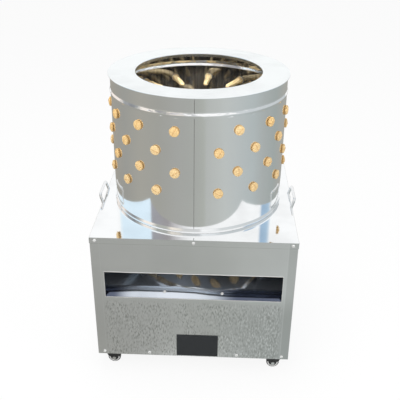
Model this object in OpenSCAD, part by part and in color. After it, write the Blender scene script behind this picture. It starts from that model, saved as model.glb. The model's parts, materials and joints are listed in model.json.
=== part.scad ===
// Drum poultry plucker: a finger-lined tub over a square base on casters, with a spinning finger plate
// Millimetres, +Z up, origin on the floor under the drum axis, front towards -Y

/* [Drum] */
// Outside diameter of the drum sheet
drum_d = 500; // [440:1:560]
// Height of the drum wall above the deck
drum_h = 386; // [345:1:460]
// Thickness of the drum sheet
drum_t = 1.5; // [1:0.1:2.5]
// Depth that the drum wall reaches below the deck
skirt_h = 60; // [45:1:80]
// Half the height of a rolled bead
bead_half = 7; // [5:0.1:9]
// How far a rolled bead stands out from the wall
bead_out = 3.5; // [2:0.1:4]
// Distance from the drum top down to the upper bead
bead_drop = 46; // [20:1:60]
// How far the splash ring stands out past the drum wall
ring_overhang = 6; // [2:0.5:12]
// Sheet thickness of the splash ring
ring_t = 2.5; // [1.5:0.1:4]
// Diameter of the mouth in the splash ring
mouth_d = 358; // [300:1:420]
// Depth of the ring's turned-down inner lip
mouth_lip = 10; // [6:1:20]
// Height of the ring's spigot inside the drum
spigot_h = 16; // [8:1:30]

/* [Fingers] */
// Diameter of a finger's head
head_d = 27; // [24:0.5:32]
// Thickness of a finger's head
head_h = 6.5; // [4:0.5:10]
// Diameter of the neck that sits in the hole
neck_d = 18; // [14:0.5:20]
// Diameter of the collar behind the sheet
collar_d = 23; // [21:0.5:24]
// Length of the tapered collar
collar_h = 9; // [6:0.5:14]
// Diameter of the ribbed shank at its root
root_d = 19; // [16:0.5:20]
// Diameter of the shank at its tip
tip_d = 15; // [9:0.5:16]
// Length of a finger from head to tip
finger_len = 95; // [80:1:105]
// Number of ribs on a finger
rib_n = 9; // [5:1:12]
// Height of a rib
rib_h = 1; // [0.5:0.1:1.5]
// Columns of fingers round the drum
column_n = 28; // [20:2:32]
// Angle left free across the welded seam
seam_gap = 26.5; // [20:0.5:40]
// Angle from the front to the middle of the free strip
seam_turn = 1.35; // [-10:0.05:10]
// Height of the lowest fingers above the deck
row_low = 121.3; // [110:0.1:135]
// Height step between rows
row_step = 58.2; // [45:0.1:62]

/* [Feather plate] */
// Thickness of the spinning plate
plate_t = 5; // [3:0.5:8]
// Depth of the plate's top face below the deck
plate_drop = 20; // [12:1:30]
// Gap between the plate's edge and the drum wall
feather_gap = 18.5; // [10:0.5:30]
// Rings of fingers on the plate
ring_n = 3; // [2:1:3]
// Fingers on the inner ring, and added by each ring outwards
ring_step_n = 7; // [5:1:7]
// Radius of the inner ring of fingers
ring_first_r = 72; // [70:1:80]
// Radius step between rings of fingers
ring_step_r = 63; // [50:1:66]

/* [Base] */
// Deck width left beside the drum
side_margin = 35; // [33:0.5:60]
// Deck depth left before and behind the drum
front_margin = 36; // [33:0.5:60]
// Height from the panels' lower edge to the deck
base_h = 405; // [385:1:480]
// Thickness of deck, panel and chute sheet
sheet_t = 1.5; // [1:0.1:2]
// Depth of the deck's turned-down lips
lip_h = 18; // [14:1:24]
// Leg of the angle-steel posts and rails
angle_leg = 25; // [20:1:26]
// Thickness of the angle steel
angle_t = 3; // [2:0.5:4]

/* [Chute] */
// Distance from each side of the base to the end of the slot
slot_margin = 34.5; // [33.5:0.5:80]
// Depth of the slot's upper edge below the deck
slot_drop = 110; // [105:1:130]
// Height of the slot
slot_h = 85; // [70:1:100]
// Depth of the chute's level floor below the deck
chute_drop = 100; // [92:1:104]
// Slope of the chute's front part
chute_slope = 23; // [18:0.5:27]
// Slope at the rolled front edge
roll_slope = 42; // [35:0.5:50]
// Radius of the rolled front edge
roll_r = 110; // [60:1:120]
// Height of the collar round the shaft
collar_rise = 20; // [10:1:26]

/* [Drive] */
// Diameter of the main shaft
shaft_d = 30; // [25:0.5:34]
// Diameter of the plate hub's flange
hub_flange_d = 110; // [100:1:114]
// Diameter of the drum pulley
pulley_d = 280; // [240:1:290]
// Diameter of the motor pulley
motor_pulley_d = 74; // [66:1:84]
// Free space between the two pulleys
pulley_space = 20; // [12:1:30]
// Top width of the drive belt
belt_w = 13; // [10:0.5:14]
// Depth of the drive belt
belt_h = 8; // [6:0.5:9]
// Diameter of the motor body
motor_d = 124; // [110:1:128]
// Length of the motor body
motor_len = 122; // [100:1:126]
// Height of the motor's fan cover
fan_cover_h = 36; // [30:1:44]
// Free height between the fan cover and the chute
motor_space = 10; // [4:1:20]
// Diameter of the motor shaft
motor_shaft_d = 19; // [16:0.5:22]

/* [Casters] */
// Height of a caster from the floor to the base
caster_h = 54; // [52:1:70]
// Diameter of a caster wheel
wheel_d = 38; // [32:0.5:40]
// Width of a caster wheel
wheel_w = 16; // [12:0.5:18]
// Distance from the swivel axis to the wheel axle
caster_trail = 10; // [8:0.5:11]
// Angle that the casters are turned in from the sides
caster_turn = 0; // [0:1:90]
// Distance from the base's edges to the swivel axis
caster_inset = 33; // [32:0.5:45]

/* [Handles] */
// Diameter of the handle rod
handle_d = 8; // [6:0.5:10]
// Spacing of the handle's feet
handle_span = 96; // [85:1:130]
// Height of the handle bar's axis above the deck
handle_h = 27; // [24:0.5:40]
// Outward lean of the handles
handle_lean = 16; // [0:1:16]
// Depth position of the handles' middle, from the drum axis
handle_y = -36; // [-80:1:80]

/* [Fittings] */
// Diameter of a panel screw's head
screw_head_d = 9; // [7:0.5:10]
// Diameter of a panel screw's shank
screw_d = 4; // [3:0.5:5]
// Width of the rating plate
label_w = 122; // [90:1:140]
// Height of the rating plate
label_h = 78; // [50:1:80]
// Sideways position of the rating plate
label_x = 12.5; // [-40:0.5:40]
// Diameter of a push button
button_d = 22; // [16:0.5:24]
// Travel of a push button
button_travel = 3; // [2:0.5:4]

/* [Hidden] */
$fn = 96;

// Shared clearances: loose parts, seated curved faces, and fixed round fits
gap = 0.3;
seat_gap = 0.1;
fit_gap = 0.05;

// Levels above the floor
deck_top = caster_h + base_h;
deck_under = deck_top - sheet_t;
plate_top = deck_top - plate_drop;
plate_under = plate_top - plate_t;
chute_top = deck_top - chute_drop;
slot_top = deck_top - slot_drop;
slot_low = slot_top - slot_h;

// Drum
drum_r = drum_d / 2;
drum_in = drum_r - drum_t;
ring_r = drum_r + ring_overhang;
mouth_r = mouth_d / 2;
row_top = row_low + 3 * row_step + head_d / 2;
bead_z = max(drum_h - bead_drop, row_top + bead_half + 1);
bead_arc = (bead_half * bead_half + bead_out * bead_out) / (2 * bead_out);
bead_x = drum_r + bead_out - bead_arc;

// Reach of the drive behind the drum axis
pulley_r = pulley_d / 2;
motor_pulley_r = motor_pulley_d / 2;
motor_y = pulley_r + motor_pulley_r + pulley_space;
motor_flange_r = motor_d / 2 + 8;
motor_plate_half = motor_flange_r + 6;
drive_space = 8;
drive_reach = motor_y + motor_plate_half + drive_space;

// Base box, deep enough for the drive: outside faces, then the faces that the posts stand against
bend_r = 2 * sheet_t;
base_w = drum_d + 2 * side_margin;
base_d = max(drum_d + 2 * front_margin, 2 * (drive_reach + bend_r));
inner_x = base_w / 2 - bend_r;
inner_front = base_d / 2 - sheet_t;
inner_rear = base_d / 2 - bend_r;
slot_w = base_w - 2 * slot_margin;
pad_t = 4;
pad_w = 2 * caster_inset - 6;
post_low = caster_h + pad_t;

// Fingers
neck_fit = 0.3;
column_pitch = (360 - seam_gap) / (column_n - 1);
collar_sag = drum_in - sqrt(drum_in * drum_in - collar_d * collar_d / 4);
drum_neck = drum_t + collar_sag + 2 * seat_gap;
plate_neck = plate_t + 2 * seat_gap;
head_round = 2.5;
collar_land = collar_h / 3;
tip_round = tip_d / 2;

// Chute: rolled front edge, sloping part, level part
chute_half = inner_x - angle_leg - gap;
chute_rear = inner_rear - angle_leg - gap;
chute_front = inner_front - gap;
roll_y = -chute_front + roll_r * sin(roll_slope);
roll_z = slot_low - roll_r * cos(roll_slope);
slope_y = roll_y - roll_r * sin(chute_slope);
slope_z = roll_z + roll_r * cos(chute_slope);
level_y = slope_y + (chute_top - slope_z) / tan(chute_slope);
chute_hole_r = 34;
chute_screw_x = 82;
chute_screw_angle = (chute_slope + roll_slope) / 2;

// Bearings and housing
shaft_r = shaft_d / 2;
race_t = 4;
ball_r = 4;
bearing_w = 16;
ball_track_r = shaft_r + fit_gap + race_t + ball_r;
bearing_r = ball_track_r + ball_r + race_t;
seal_h = 8;
housing_r = bearing_r + 9;
housing_top = chute_top - sheet_t - 16;
flange_t = 10;

// Drive levels, hung below the chute so that the motor clears it
motor_top = chute_top - sheet_t - motor_space;
motor_cap = motor_top - fan_cover_h;
motor_foot = motor_cap - motor_len;
motor_plate_t = 6;
bar_top = motor_foot - motor_plate_t;
bar_low = bar_top - angle_leg;
housing_low = bar_low - 8;
pulley_w = 24;
pulley_z = housing_low - 4 - pulley_w / 2;
bar_x = housing_r + 22;
fin_h = 6;

// Belt: running on both pulleys, sunk a little below their rims
belt_sink = 1;
belt_slant = 19;
belt_gap = gap;
belt_r = pulley_r - belt_sink - belt_h;
belt_motor_r = motor_pulley_r - belt_sink - belt_h;
belt_low_w = belt_w - 2 * belt_h * tan(belt_slant);
belt_turn = asin((belt_r - belt_motor_r) / motor_y);
belt_run = sqrt(motor_y * motor_y - pow(belt_r - belt_motor_r, 2));
belt_inset = 0.05;
belt_join = 1;

// Hub and its bolts
hub_h = 30;
hub_flange_t = 10;
hub_r = shaft_r + 13;
hub_bolt_d = 8;
hub_bolt_n = 6;
hub_bolt_r = (hub_flange_d / 2 + hub_r) / 2;
stud_d = 18;
stud_rise = 12;

// Casters
caster_x = base_w / 2 - caster_inset;
caster_y = base_d / 2 - caster_inset;
wheel_r = wheel_d / 2;
caster_plate_t = 2.5;
race_h = 3.5;
crown_t = 3;
crown_r = 18;
kingpin_d = 10;
kingpin_head_d = 15;
kingpin_head_h = 2.5;
crown_top = caster_h - caster_plate_t - race_h - gap;
crown_low = crown_top - crown_t;
kingpin_low = crown_low - gap - kingpin_head_h;
fork_t = 2.5;
fork_in = wheel_w / 2 + 0.5;
fork_front = 0.94 * crown_r;
fork_back = caster_trail + wheel_r + 2;
fork_boss_r = 7;
axle_d = 6;
axle_head_d = 11;
axle_head_h = 3;
axle_fit = 0.08;

// Screws
screw_head_h = 2.5;
screw_fit = 0.1;
screw_grip = 2;
top_screw_z = deck_top - lip_h / 2;
low_screw_z = post_low + 6;
corner_screw = angle_leg / 2;
low_screw_in = angle_leg / 4.5;
row_screw_x = 130;

// Switch on the right-hand panel
switch_y = 90;
switch_rise = 241;
switch_z = caster_h + switch_rise;
switch_w = 44;
switch_h = 72;
switch_depth = 42;
bezel_rim = 6;
bezel_t = 3.5;
button_step = 17;
button_rise = 3.5;
gland_y = 90;
gland_rise = 111;
gland_z = caster_h + gland_rise;
gland_d = 20;
gland_nut_d = 27;
gland_nut_h = 4.5;
gland_bore_d = 9;

// Shared shapes

module ring(r_out, r_in, h) {
    difference() {
        cylinder(r = r_out, h = h);
        translate([0, 0, -1])
            cylinder(r = r_in, h = h + 2);
    }
}

// Draws a profile given in depth and height, and runs it along X
module along_x(length) {
    rotate([90, 0, 90])
        linear_extrude(length, center = true)
            children();
}

module angle_section() {
    polygon([
        [0, 0], [-angle_leg, 0], [-angle_leg, -angle_t],
        [-angle_t, -angle_t], [-angle_t, -angle_leg], [0, -angle_leg]
    ]);
}

// Places a shape drawn for the right rear corner at each corner of the base
module each_corner() {
    for (sx = [-1, 1])
        for (sy = [-1, 1])
            translate([sx * inner_x, sy > 0 ? inner_rear : -inner_front, 0])
                mirror([sx > 0 ? 0 : 1, 0, 0])
                    mirror([0, sy > 0 ? 0 : 1, 0])
                        children();
}

// Fingers

// Shank radius at a share of its length, from root to tip
function shank_r(u) = (root_d + (tip_d - root_d) * u) / 2 - rib_h;

// Moulded rubber finger along +Z: head, neck, collar, ribbed shank and rounded tip
module finger(neck) {
    shank_from = head_h + neck + collar_h;
    shank_to = finger_len - tip_round;
    rib_pitch = (shank_to - shank_from) / rib_n;
    head_points = [
        for (a = [0 : 30 : 90])
            [head_d / 2 - head_round + head_round * sin(a), head_round - head_round * cos(a)]
    ];
    rib_points = [
        for (i = [0 : rib_n - 1])
            for (k = [0, 0.35, 0.65])
                [
                    shank_r((i + k) / rib_n) + (k == 0 ? 0 : rib_h),
                    shank_from + (i + k) * rib_pitch
                ]
    ];
    tip_r = shank_r(1);
    tip_points = [
        for (a = [0 : 30 : 90])
            [tip_r * cos(a), shank_to + tip_round * sin(a)]
    ];
    rotate_extrude()
        polygon(concat(
            [[0, 0]],
            head_points,
            [
                [head_d / 2, head_h],
                [neck_d / 2, head_h],
                [neck_d / 2, head_h + neck],
                [collar_d / 2, head_h + neck],
                [collar_d / 2, head_h + neck + collar_land]
            ],
            rib_points,
            tip_points
        ));
}

// Places a shape at each finger of the drum, its Z pointing at the drum axis from the outer face
module each_drum_finger() {
    for (i = [0 : column_n - 1])
        for (k = [0, 1])
            rotate([0, 0, seam_turn + seam_gap / 2 + i * column_pitch - 90])
                translate([drum_r, 0, deck_top + row_low + row_step * (2 * k + i % 2)])
                    rotate([0, -90, 0])
                        children();
}

// Places a shape at each finger of the plate, its Z pointing up from the plate's lower face
module each_plate_finger() {
    for (i = [0 : ring_n - 1])
        for (k = [0 : ring_step_n * (i + 1) - 1])
            rotate([0, 0, 360 * k / (ring_step_n * (i + 1)) - 90 + 3.3])
                translate([ring_first_r + i * ring_step_r, 0, plate_under])
                    children();
}

module drum_fingers() {
    color("burlywood")
        each_drum_finger()
            translate([0, 0, -head_h - seat_gap])
                finger(drum_neck);
}

module plate_fingers() {
    color("burlywood")
        each_plate_finger()
            translate([0, 0, -head_h - seat_gap])
                finger(plate_neck);
}

// Drum

// Low arc of sheet standing out from the wall, and the hollow behind it
module bead(z) {
    translate([bead_x, z])
        intersection() {
            circle(bead_arc);
            translate([drum_in - bead_x, -bead_arc])
                square(2 * bead_arc);
        }
}

module bead_hollow(z) {
    translate([bead_x, z])
        circle(bead_arc - drum_t);
}

// Rolled sheet drum with an upper bead, a foot bead on the deck and a skirt below it
module drum_shell() {
    color("lightgray")
        difference() {
            translate([0, 0, deck_top])
                rotate_extrude()
                    difference() {
                        union() {
                            translate([drum_in, -skirt_h])
                                square([drum_t, skirt_h + drum_h]);
                            bead(bead_z);
                            bead(bead_half);
                        }
                        bead_hollow(bead_z);
                        bead_hollow(bead_half);
                    }
            each_drum_finger()
                translate([0, 0, -drum_t])
                    cylinder(d = neck_d + 2 * neck_fit, h = 3 * drum_t);
        }
}

// Flat ring on the drum's top edge, with a turned-down lip round the mouth and a spigot in the drum
module splash_ring() {
    color("whitesmoke")
        translate([0, 0, deck_top + drum_h]) {
            ring(ring_r, mouth_r, ring_t);
            translate([0, 0, ring_t - mouth_lip])
                ring(mouth_r + ring_t, mouth_r, mouth_lip);
            translate([0, 0, -spigot_h])
                ring(drum_in - gap, drum_in - gap - drum_t, spigot_h + 0.5);
        }
}

// Angle clips that hang the skirt from the deck
module drum_clips() {
    clip_w = 30;
    clip_leg = 16;
    clip_x = drum_r + gap;
    color("gray")
        for (i = [0 : 3])
            rotate([0, 0, 45 + 90 * i])
                difference() {
                    translate([clip_x - 2, -clip_w / 2, deck_under - clip_leg])
                        cube([clip_leg + 2, clip_w, clip_leg]);
                    translate([clip_x + angle_t, -clip_w, deck_under - clip_leg - angle_t])
                        cube([clip_leg, 2 * clip_w, clip_leg]);
                    translate([0, 0, deck_under - 2 * clip_leg])
                        cylinder(r = clip_x, h = 3 * clip_leg, $fn = 4 * $fn);
                }
}

// Base sheet work

// Bent edge of the deck: quarter round and flat lip, drawn with the outer face at x = 0
module lip_section() {
    difference() {
        translate([-bend_r, -bend_r])
            circle(bend_r);
        translate([-bend_r, -bend_r])
            circle(bend_r - sheet_t);
        translate([-3 * bend_r, -3 * bend_r])
            square([2 * bend_r, 4 * bend_r]);
        translate([-3 * bend_r, -3 * bend_r])
            square([4 * bend_r, 2 * bend_r]);
    }
    translate([-sheet_t, -lip_h])
        square([sheet_t, lip_h - bend_r]);
}

module deck_plate() {
    hole_r = drum_r + gap;
    side_x = base_w / 2;
    rear_y = base_d / 2;
    color("gainsboro")
        difference() {
            union() {
                translate([-side_x + bend_r, -rear_y, deck_under])
                    cube([base_w - 2 * bend_r, base_d - bend_r, sheet_t]);
                for (s = [0, 1])
                    mirror([s, 0, 0])
                        translate([side_x, -bend_r / 2, deck_top])
                            rotate([90, 0, 0])
                                linear_extrude(base_d - bend_r, center = true)
                                    lip_section();
                translate([0, rear_y, deck_top])
                    along_x(base_w - 2 * bend_r)
                        lip_section();
            }
            cylinder(r = hole_r, h = 2 * deck_top);
            screw_shanks(screw_fit);
        }
}

// Plain front sheet with the feather slot
module front_panel() {
    color("silver")
        difference() {
            translate([-inner_x, -base_d / 2, caster_h])
                cube([2 * inner_x, sheet_t, base_h - sheet_t]);
            translate([-slot_w / 2, -base_d, slot_low])
                cube([slot_w, base_d, slot_h]);
            screw_shanks(screw_fit);
        }
}

// Rear sheet with louvre slots level with the motor
module rear_panel() {
    vent_w = 46;
    vent_h = 5;
    vent_step = 13;
    vent_rows = 7;
    color("silver")
        difference() {
            translate([-inner_x, inner_rear, caster_h])
                cube([2 * inner_x, sheet_t, base_h - bend_r]);
            for (side = [-1, 1])
                for (k = [0 : vent_rows - 1])
                    translate([side * vent_w * 0.75, inner_rear - 1, motor_foot + 10 + k * vent_step])
                        rotate([-90, 0, 0])
                            linear_extrude(sheet_t + 2) {
                                square([vent_w - vent_h, vent_h], center = true);
                                for (e = [-1, 1])
                                    translate([e * (vent_w - vent_h) / 2, 0])
                                        circle(vent_h / 2);
                            }
            screw_shanks(screw_fit);
        }
}

// Side sheet that covers the edges of the front and rear panels, drawn for the right-hand side
module side_panel() {
    translate([inner_x, -base_d / 2, caster_h])
        cube([sheet_t, base_d - sheet_t, base_h - bend_r]);
}

module left_panel() {
    color("silver")
        difference() {
            mirror([1, 0, 0])
                side_panel();
            screw_shanks(screw_fit);
        }
}

module right_panel() {
    color("silver")
        difference() {
            side_panel();
            translate([0, switch_y - switch_w / 2 - gap, switch_z - switch_h / 2 - gap])
                cube([base_w, switch_w + 2 * gap, switch_h + 2 * gap]);
            translate([0, gland_y, gland_z])
                rotate([0, 90, 0])
                    cylinder(d = gland_d + 2 * gap, h = base_w);
            screw_shanks(screw_fit);
        }
}

// Point on the chute's rolled edge at a slope angle, a given radius from the roll's centre
function roll_point(a, r) = [roll_y - r * sin(a), roll_z + r * cos(a)];

// Rolled strip between two radii and two slope angles
module roll_band(r_out, r_in, low_slope, high_slope) {
    reach = 2 * r_out;
    translate([roll_y, roll_z])
        intersection() {
            difference() {
                circle(r_out);
                circle(r_in);
            }
            polygon([
                [0, 0],
                [-reach * sin(high_slope), reach * cos(high_slope)],
                [-reach * sin(low_slope), reach * cos(low_slope)]
            ]);
        }
}

// Point where the sloping floor meets the level floor, a given depth under the top face
function level_point(depth) = [level_y + depth * tan(chute_slope / 2), chute_top - depth];

module chute_floor() {
    low_r = roll_r - sheet_t;
    roll_band(roll_r, low_r, chute_slope, roll_slope);
    polygon([
        roll_point(chute_slope, roll_r),
        level_point(0),
        [chute_rear, chute_top],
        [chute_rear, chute_top - sheet_t],
        level_point(sheet_t),
        roll_point(chute_slope, low_r)
    ]);
}

// Side wall from the middle of the floor's thickness up to the deck, behind the front rail
module chute_wall() {
    wall_front = inner_front - angle_t - gap;
    mid = sheet_t / 2;
    mid_r = roll_r - mid;
    start = asin((roll_y + wall_front) / mid_r);
    steps = 6;
    polygon(concat(
        [for (i = [0 : steps]) roll_point(start + (chute_slope - start) * i / steps, mid_r)],
        [
            level_point(mid),
            [chute_rear, chute_top - mid],
            [chute_rear, deck_under],
            [-wall_front, deck_under]
        ]
    ));
}

// Folded feather tray: rolled front edge, sloping and level floor, side and rear walls, shaft collar
module feather_chute() {
    color("lightsteelblue")
        difference() {
            union() {
                along_x(2 * chute_half)
                    chute_floor();
                for (s = [-1, 1])
                    translate([s * (chute_half - sheet_t / 2), 0, 0])
                        along_x(sheet_t)
                            chute_wall();
                translate([-chute_half, chute_rear - sheet_t, chute_top - sheet_t / 2])
                    cube([2 * chute_half, sheet_t, deck_under - chute_top + sheet_t / 2]);
                translate([0, 0, chute_top - sheet_t])
                    cylinder(r = chute_hole_r + sheet_t, h = sheet_t + collar_rise);
            }
            cylinder(r = chute_hole_r, h = 2 * deck_top);
            chute_screw_shanks(screw_fit);
        }
}

// Support strip behind the front panel, rolled to the underside of the chute's front edge
module chute_rail() {
    strip_h = 40;
    under_r = roll_r - sheet_t - seat_gap;
    face_y = -inner_front;
    color("gray")
        difference() {
            along_x(2 * (inner_x - angle_leg))
                intersection() {
                    union() {
                        roll_band(under_r, under_r - angle_t, chute_slope, roll_slope + 4);
                        translate([face_y, slot_low - strip_h])
                            square([angle_t, strip_h - angle_t - 1]);
                    }
                    translate([face_y, 0])
                        square([base_d, deck_top]);
                }
            chute_screw_shanks(screw_fit);
        }
}

// Frame of angle steel

module corner_posts() {
    color("dimgray")
        difference() {
            each_corner()
                translate([0, 0, post_low])
                    linear_extrude(deck_under - post_low)
                        angle_section();
            screw_shanks(screw_fit);
        }
}

// Flat bars under the deck between the posts
module top_rails() {
    rail_x = inner_x - angle_leg;
    color("dimgray")
        difference() {
            union() {
                translate([-rail_x, -inner_front, deck_under - angle_leg])
                    cube([2 * rail_x, angle_t, angle_leg]);
                translate([-rail_x, inner_rear - angle_t, deck_under - angle_leg])
                    cube([2 * rail_x, angle_t, angle_leg]);
                for (s = [0, 1])
                    mirror([s, 0, 0])
                        translate([inner_x - angle_t, -inner_front + angle_leg, deck_under - angle_leg])
                            cube([angle_t, inner_front + inner_rear - 2 * angle_leg, angle_leg]);
            }
            screw_shanks(screw_fit);
        }
}

// Angle bars between the posts, one leg against the panel and one leg level
module angle_bar_x(y, z, side) {
    translate([0, y, z])
        mirror([0, side > 0 ? 0 : 1, 0])
            mirror([0, 0, 1])
                along_x(2 * (inner_x - angle_leg))
                    angle_section();
}

module bottom_rails() {
    color("dimgray")
        difference() {
            union() {
                angle_bar_x(-inner_front, post_low, -1);
                angle_bar_x(inner_rear, post_low, 1);
                for (s = [0, 1])
                    mirror([s, 0, 0])
                        translate([inner_x, (inner_rear - inner_front) / 2, post_low])
                            rotate([90, 0, 0])
                                linear_extrude(inner_front + inner_rear - 2 * angle_leg, center = true)
                                    mirror([0, 1, 0])
                                        angle_section();
            }
            screw_shanks(screw_fit);
        }
}

// Steel pads in the corners, which the posts stand on and the casters bolt to
module corner_pads() {
    color("dimgray")
        each_corner()
            translate([-pad_w, -pad_w, caster_h])
                cube([pad_w, pad_w, pad_t]);
}

// Front and rear bars that carry the drive bars
module mid_rails() {
    color("dimgray") {
        translate([0, 0, 2 * bar_low])
            mirror([0, 0, 1])
                angle_bar_x(-inner_front, bar_low, -1);
        translate([0, 0, 2 * bar_low])
            mirror([0, 0, 1])
                angle_bar_x(inner_rear, bar_low, 1);
    }
}

// Two channels from front to rear that carry the bearing housing and the motor
module drive_bars() {
    color("dimgray")
        difference() {
            for (s = [-1, 1])
                translate([s * bar_x, 0, bar_low])
                    difference() {
                        translate([-angle_leg / 2, -inner_front, 0])
                            cube([angle_leg, inner_front + inner_rear, angle_leg]);
                        translate([-angle_leg / 2 + angle_t, -base_d, -angle_t])
                            cube([angle_leg - 2 * angle_t, 2 * base_d, angle_leg]);
                    }
            drive_bolt_shanks(screw_fit);
        }
}

// Bearings and main shaft

// Places a shape at the lower face of each bearing
module each_bearing() {
    for (z = [housing_low, housing_top - seal_h - bearing_w])
        translate([0, 0, z])
            children();
}

module ball_track() {
    translate([0, 0, bearing_w / 2])
        rotate_extrude()
            translate([ball_track_r, 0])
                circle(ball_r + gap);
}

// Cast housing: flanged tube with a seat for a bearing at each end
module bearing_housing() {
    flange_x = bar_x + angle_leg / 2;
    flange_y = housing_r + 14;
    color("slategray")
        difference() {
            union() {
                translate([0, 0, housing_low])
                    cylinder(r = housing_r, h = housing_top - housing_low);
                translate([-flange_x, -flange_y, bar_top])
                    cube([2 * flange_x, 2 * flange_y, flange_t]);
                for (a = [0 : 90 : 270])
                    rotate([0, 0, a])
                        translate([0, angle_t, bar_top + flange_t])
                            rotate([90, 0, 0])
                                linear_extrude(2 * angle_t)
                                    polygon([[0, 0], [flange_y, 0], [housing_r, 50], [0, 50]]);
            }
            translate([0, 0, housing_low - 1])
                cylinder(r = bearing_r - race_t, h = housing_top);
            translate([0, 0, housing_low - 1])
                cylinder(r = bearing_r + fit_gap, h = bearing_w + 1);
            translate([0, 0, housing_top - seal_h - bearing_w])
                cylinder(r = bearing_r + fit_gap, h = seal_h + bearing_w + 1);
            drive_bolt_shanks(screw_fit);
        }
}

module bearing_outer_rings() {
    color("silver")
        each_bearing()
            difference() {
                ring(bearing_r, bearing_r - race_t, bearing_w);
                ball_track();
            }
}

module bearing_inner_rings() {
    color("silver")
        each_bearing()
            difference() {
                ring(shaft_r + fit_gap + race_t, shaft_r + fit_gap, bearing_w);
                ball_track();
            }
}

module bearing_balls() {
    ball_n = 9;
    color("white")
        each_bearing()
            for (i = [0 : ball_n - 1])
                rotate([0, 0, 360 * i / ball_n])
                    translate([ball_track_r, 0, bearing_w / 2])
                        sphere(ball_r);
}

module shaft_seal() {
    color("black")
        translate([0, 0, housing_top - seal_h])
            ring(bearing_r, shaft_r + gap, seal_h);
}

// Shaft from the pulley to the hub, with a threaded stud through the plate
module main_shaft() {
    shaft_low = pulley_z - pulley_w / 2 - 6;
    color("lightgray") {
        translate([0, 0, shaft_low])
            cylinder(d = shaft_d, h = plate_under - shaft_low);
        translate([0, 0, plate_under - 1])
            cylinder(d = stud_d, h = plate_t + stud_rise + 1);
    }
}

// Spinning finger plate

module hub_bolt_places() {
    for (i = [0 : hub_bolt_n - 1])
        rotate([0, 0, 360 * i / hub_bolt_n])
            translate([hub_bolt_r, 0, 0])
                children();
}

module feather_plate() {
    plate_r = drum_in - feather_gap;
    edge = plate_t / 4;
    color("gainsboro")
        difference() {
            translate([0, 0, plate_under])
                rotate_extrude()
                    polygon([
                        [0, 0], [plate_r, 0], [plate_r, plate_t - edge],
                        [plate_r - edge, plate_t], [0, plate_t]
                    ]);
            each_plate_finger()
                translate([0, 0, -1])
                    cylinder(d = neck_d + 2 * neck_fit, h = plate_t + 2);
            translate([0, 0, plate_under - 1])
                cylinder(d = stud_d + 2 * fit_gap, h = plate_t + 2);
            hub_bolt_places()
                translate([0, 0, plate_under - 1])
                    cylinder(d = hub_bolt_d + 2 * screw_fit, h = plate_t + 2);
        }
}

module plate_hub() {
    color("gray")
        translate([0, 0, plate_under - hub_h])
            difference() {
                union() {
                    cylinder(r = hub_r, h = hub_h);
                    translate([0, 0, hub_h - hub_flange_t])
                        cylinder(d = hub_flange_d, h = hub_flange_t);
                }
                translate([0, 0, -1])
                    cylinder(r = shaft_r + fit_gap, h = hub_h + 2);
                hub_bolt_places()
                    translate([0, 0, -1])
                        cylinder(d = hub_bolt_d + 2 * screw_fit, h = hub_h + 2);
            }
}

// Button-head bolt with its head's seat at z = 0 and its shank below
module button_bolt(d, length) {
    rotate_extrude()
        difference() {
            union() {
                translate([0, -length])
                    square([d / 2, length + 1]);
                intersection() {
                    translate([0, -0.6 * d])
                        circle(1.2 * d);
                    square([d, d]);
                }
            }
            translate([-2 * d, -2 * length])
                square([2 * d, 4 * length]);
        }
}

module hub_bolts() {
    color("silver")
        hub_bolt_places()
            translate([0, 0, plate_top])
                button_bolt(hub_bolt_d, plate_t + hub_flange_t);
}

// Domed nut on the shaft's stud
module cap_nut() {
    nut_across = stud_d * 1.5;
    nut_h = stud_rise + 4;
    color("silver")
        translate([0, 0, plate_top])
            difference() {
                union() {
                    cylinder(d = nut_across * 2 / sqrt(3), h = stud_rise * 0.6, $fn = 6);
                    intersection() {
                        cylinder(d = nut_across, h = nut_h + 6);
                        translate([0, 0, nut_h + 6 - nut_across / 2])
                            sphere(d = nut_across);
                        translate([0, 0, 1])
                            cylinder(d = 2 * nut_across, h = 2 * nut_h);
                    }
                    cylinder(d = nut_across, h = nut_h + 6 - nut_across / 2);
                }
                translate([0, 0, -1])
                    cylinder(d = stud_d + 2 * fit_gap, h = stud_rise + 1 + gap);
            }
}

// Belt drive

// Half section of the belt's groove, from the rim inwards
module groove_section(r) {
    clear_w = belt_gap / cos(belt_slant);
    low_w = belt_low_w / 2 + clear_w;
    rim_w = low_w + (belt_h + belt_sink) * tan(belt_slant);
    over = 2;
    polygon([
        [r - belt_sink - belt_h - belt_gap, -low_w],
        [r - belt_sink - belt_h - belt_gap, low_w],
        [r, rim_w],
        [r + over, rim_w],
        [r + over, -rim_w],
        [r, -rim_w]
    ]);
}

// Pulley round the origin: hub with a shaft bore, web with holes, and a grooved rim
module pulley(r, bore_r, hub_wall, web) {
    rim_t = belt_h + belt_sink + 5;
    difference() {
        union() {
            translate([0, 0, -pulley_w / 2])
                ring(bore_r + hub_wall, bore_r, pulley_w);
            translate([0, 0, -web / 2])
                ring(r - rim_t + 1, bore_r + hub_wall - 1, web);
            translate([0, 0, -pulley_w / 2])
                ring(r, r - rim_t, pulley_w);
        }
        rotate_extrude()
            groove_section(r);
    }
}

module drive_pulley() {
    web = 8;
    hub_wall = 14;
    hole_track_r = (pulley_r + shaft_r) / 2;
    color("dimgray")
        translate([0, 0, pulley_z])
            difference() {
                pulley(pulley_r, shaft_r + fit_gap, hub_wall, web);
                for (i = [0 : 5])
                    rotate([0, 0, 60 * i])
                        translate([hole_track_r, 0, -web])
                            cylinder(d = pulley_r - shaft_r - 2 * hub_wall - 40, h = 2 * web);
            }
}

module motor_pulley() {
    color("dimgray")
        translate([0, motor_y, pulley_z])
            difference() {
                cylinder(r = motor_pulley_r, h = pulley_w, center = true);
                cylinder(r = motor_shaft_d / 2 + fit_gap, h = 2 * pulley_w, center = true);
                rotate_extrude()
                    groove_section(motor_pulley_r);
            }
}

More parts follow.
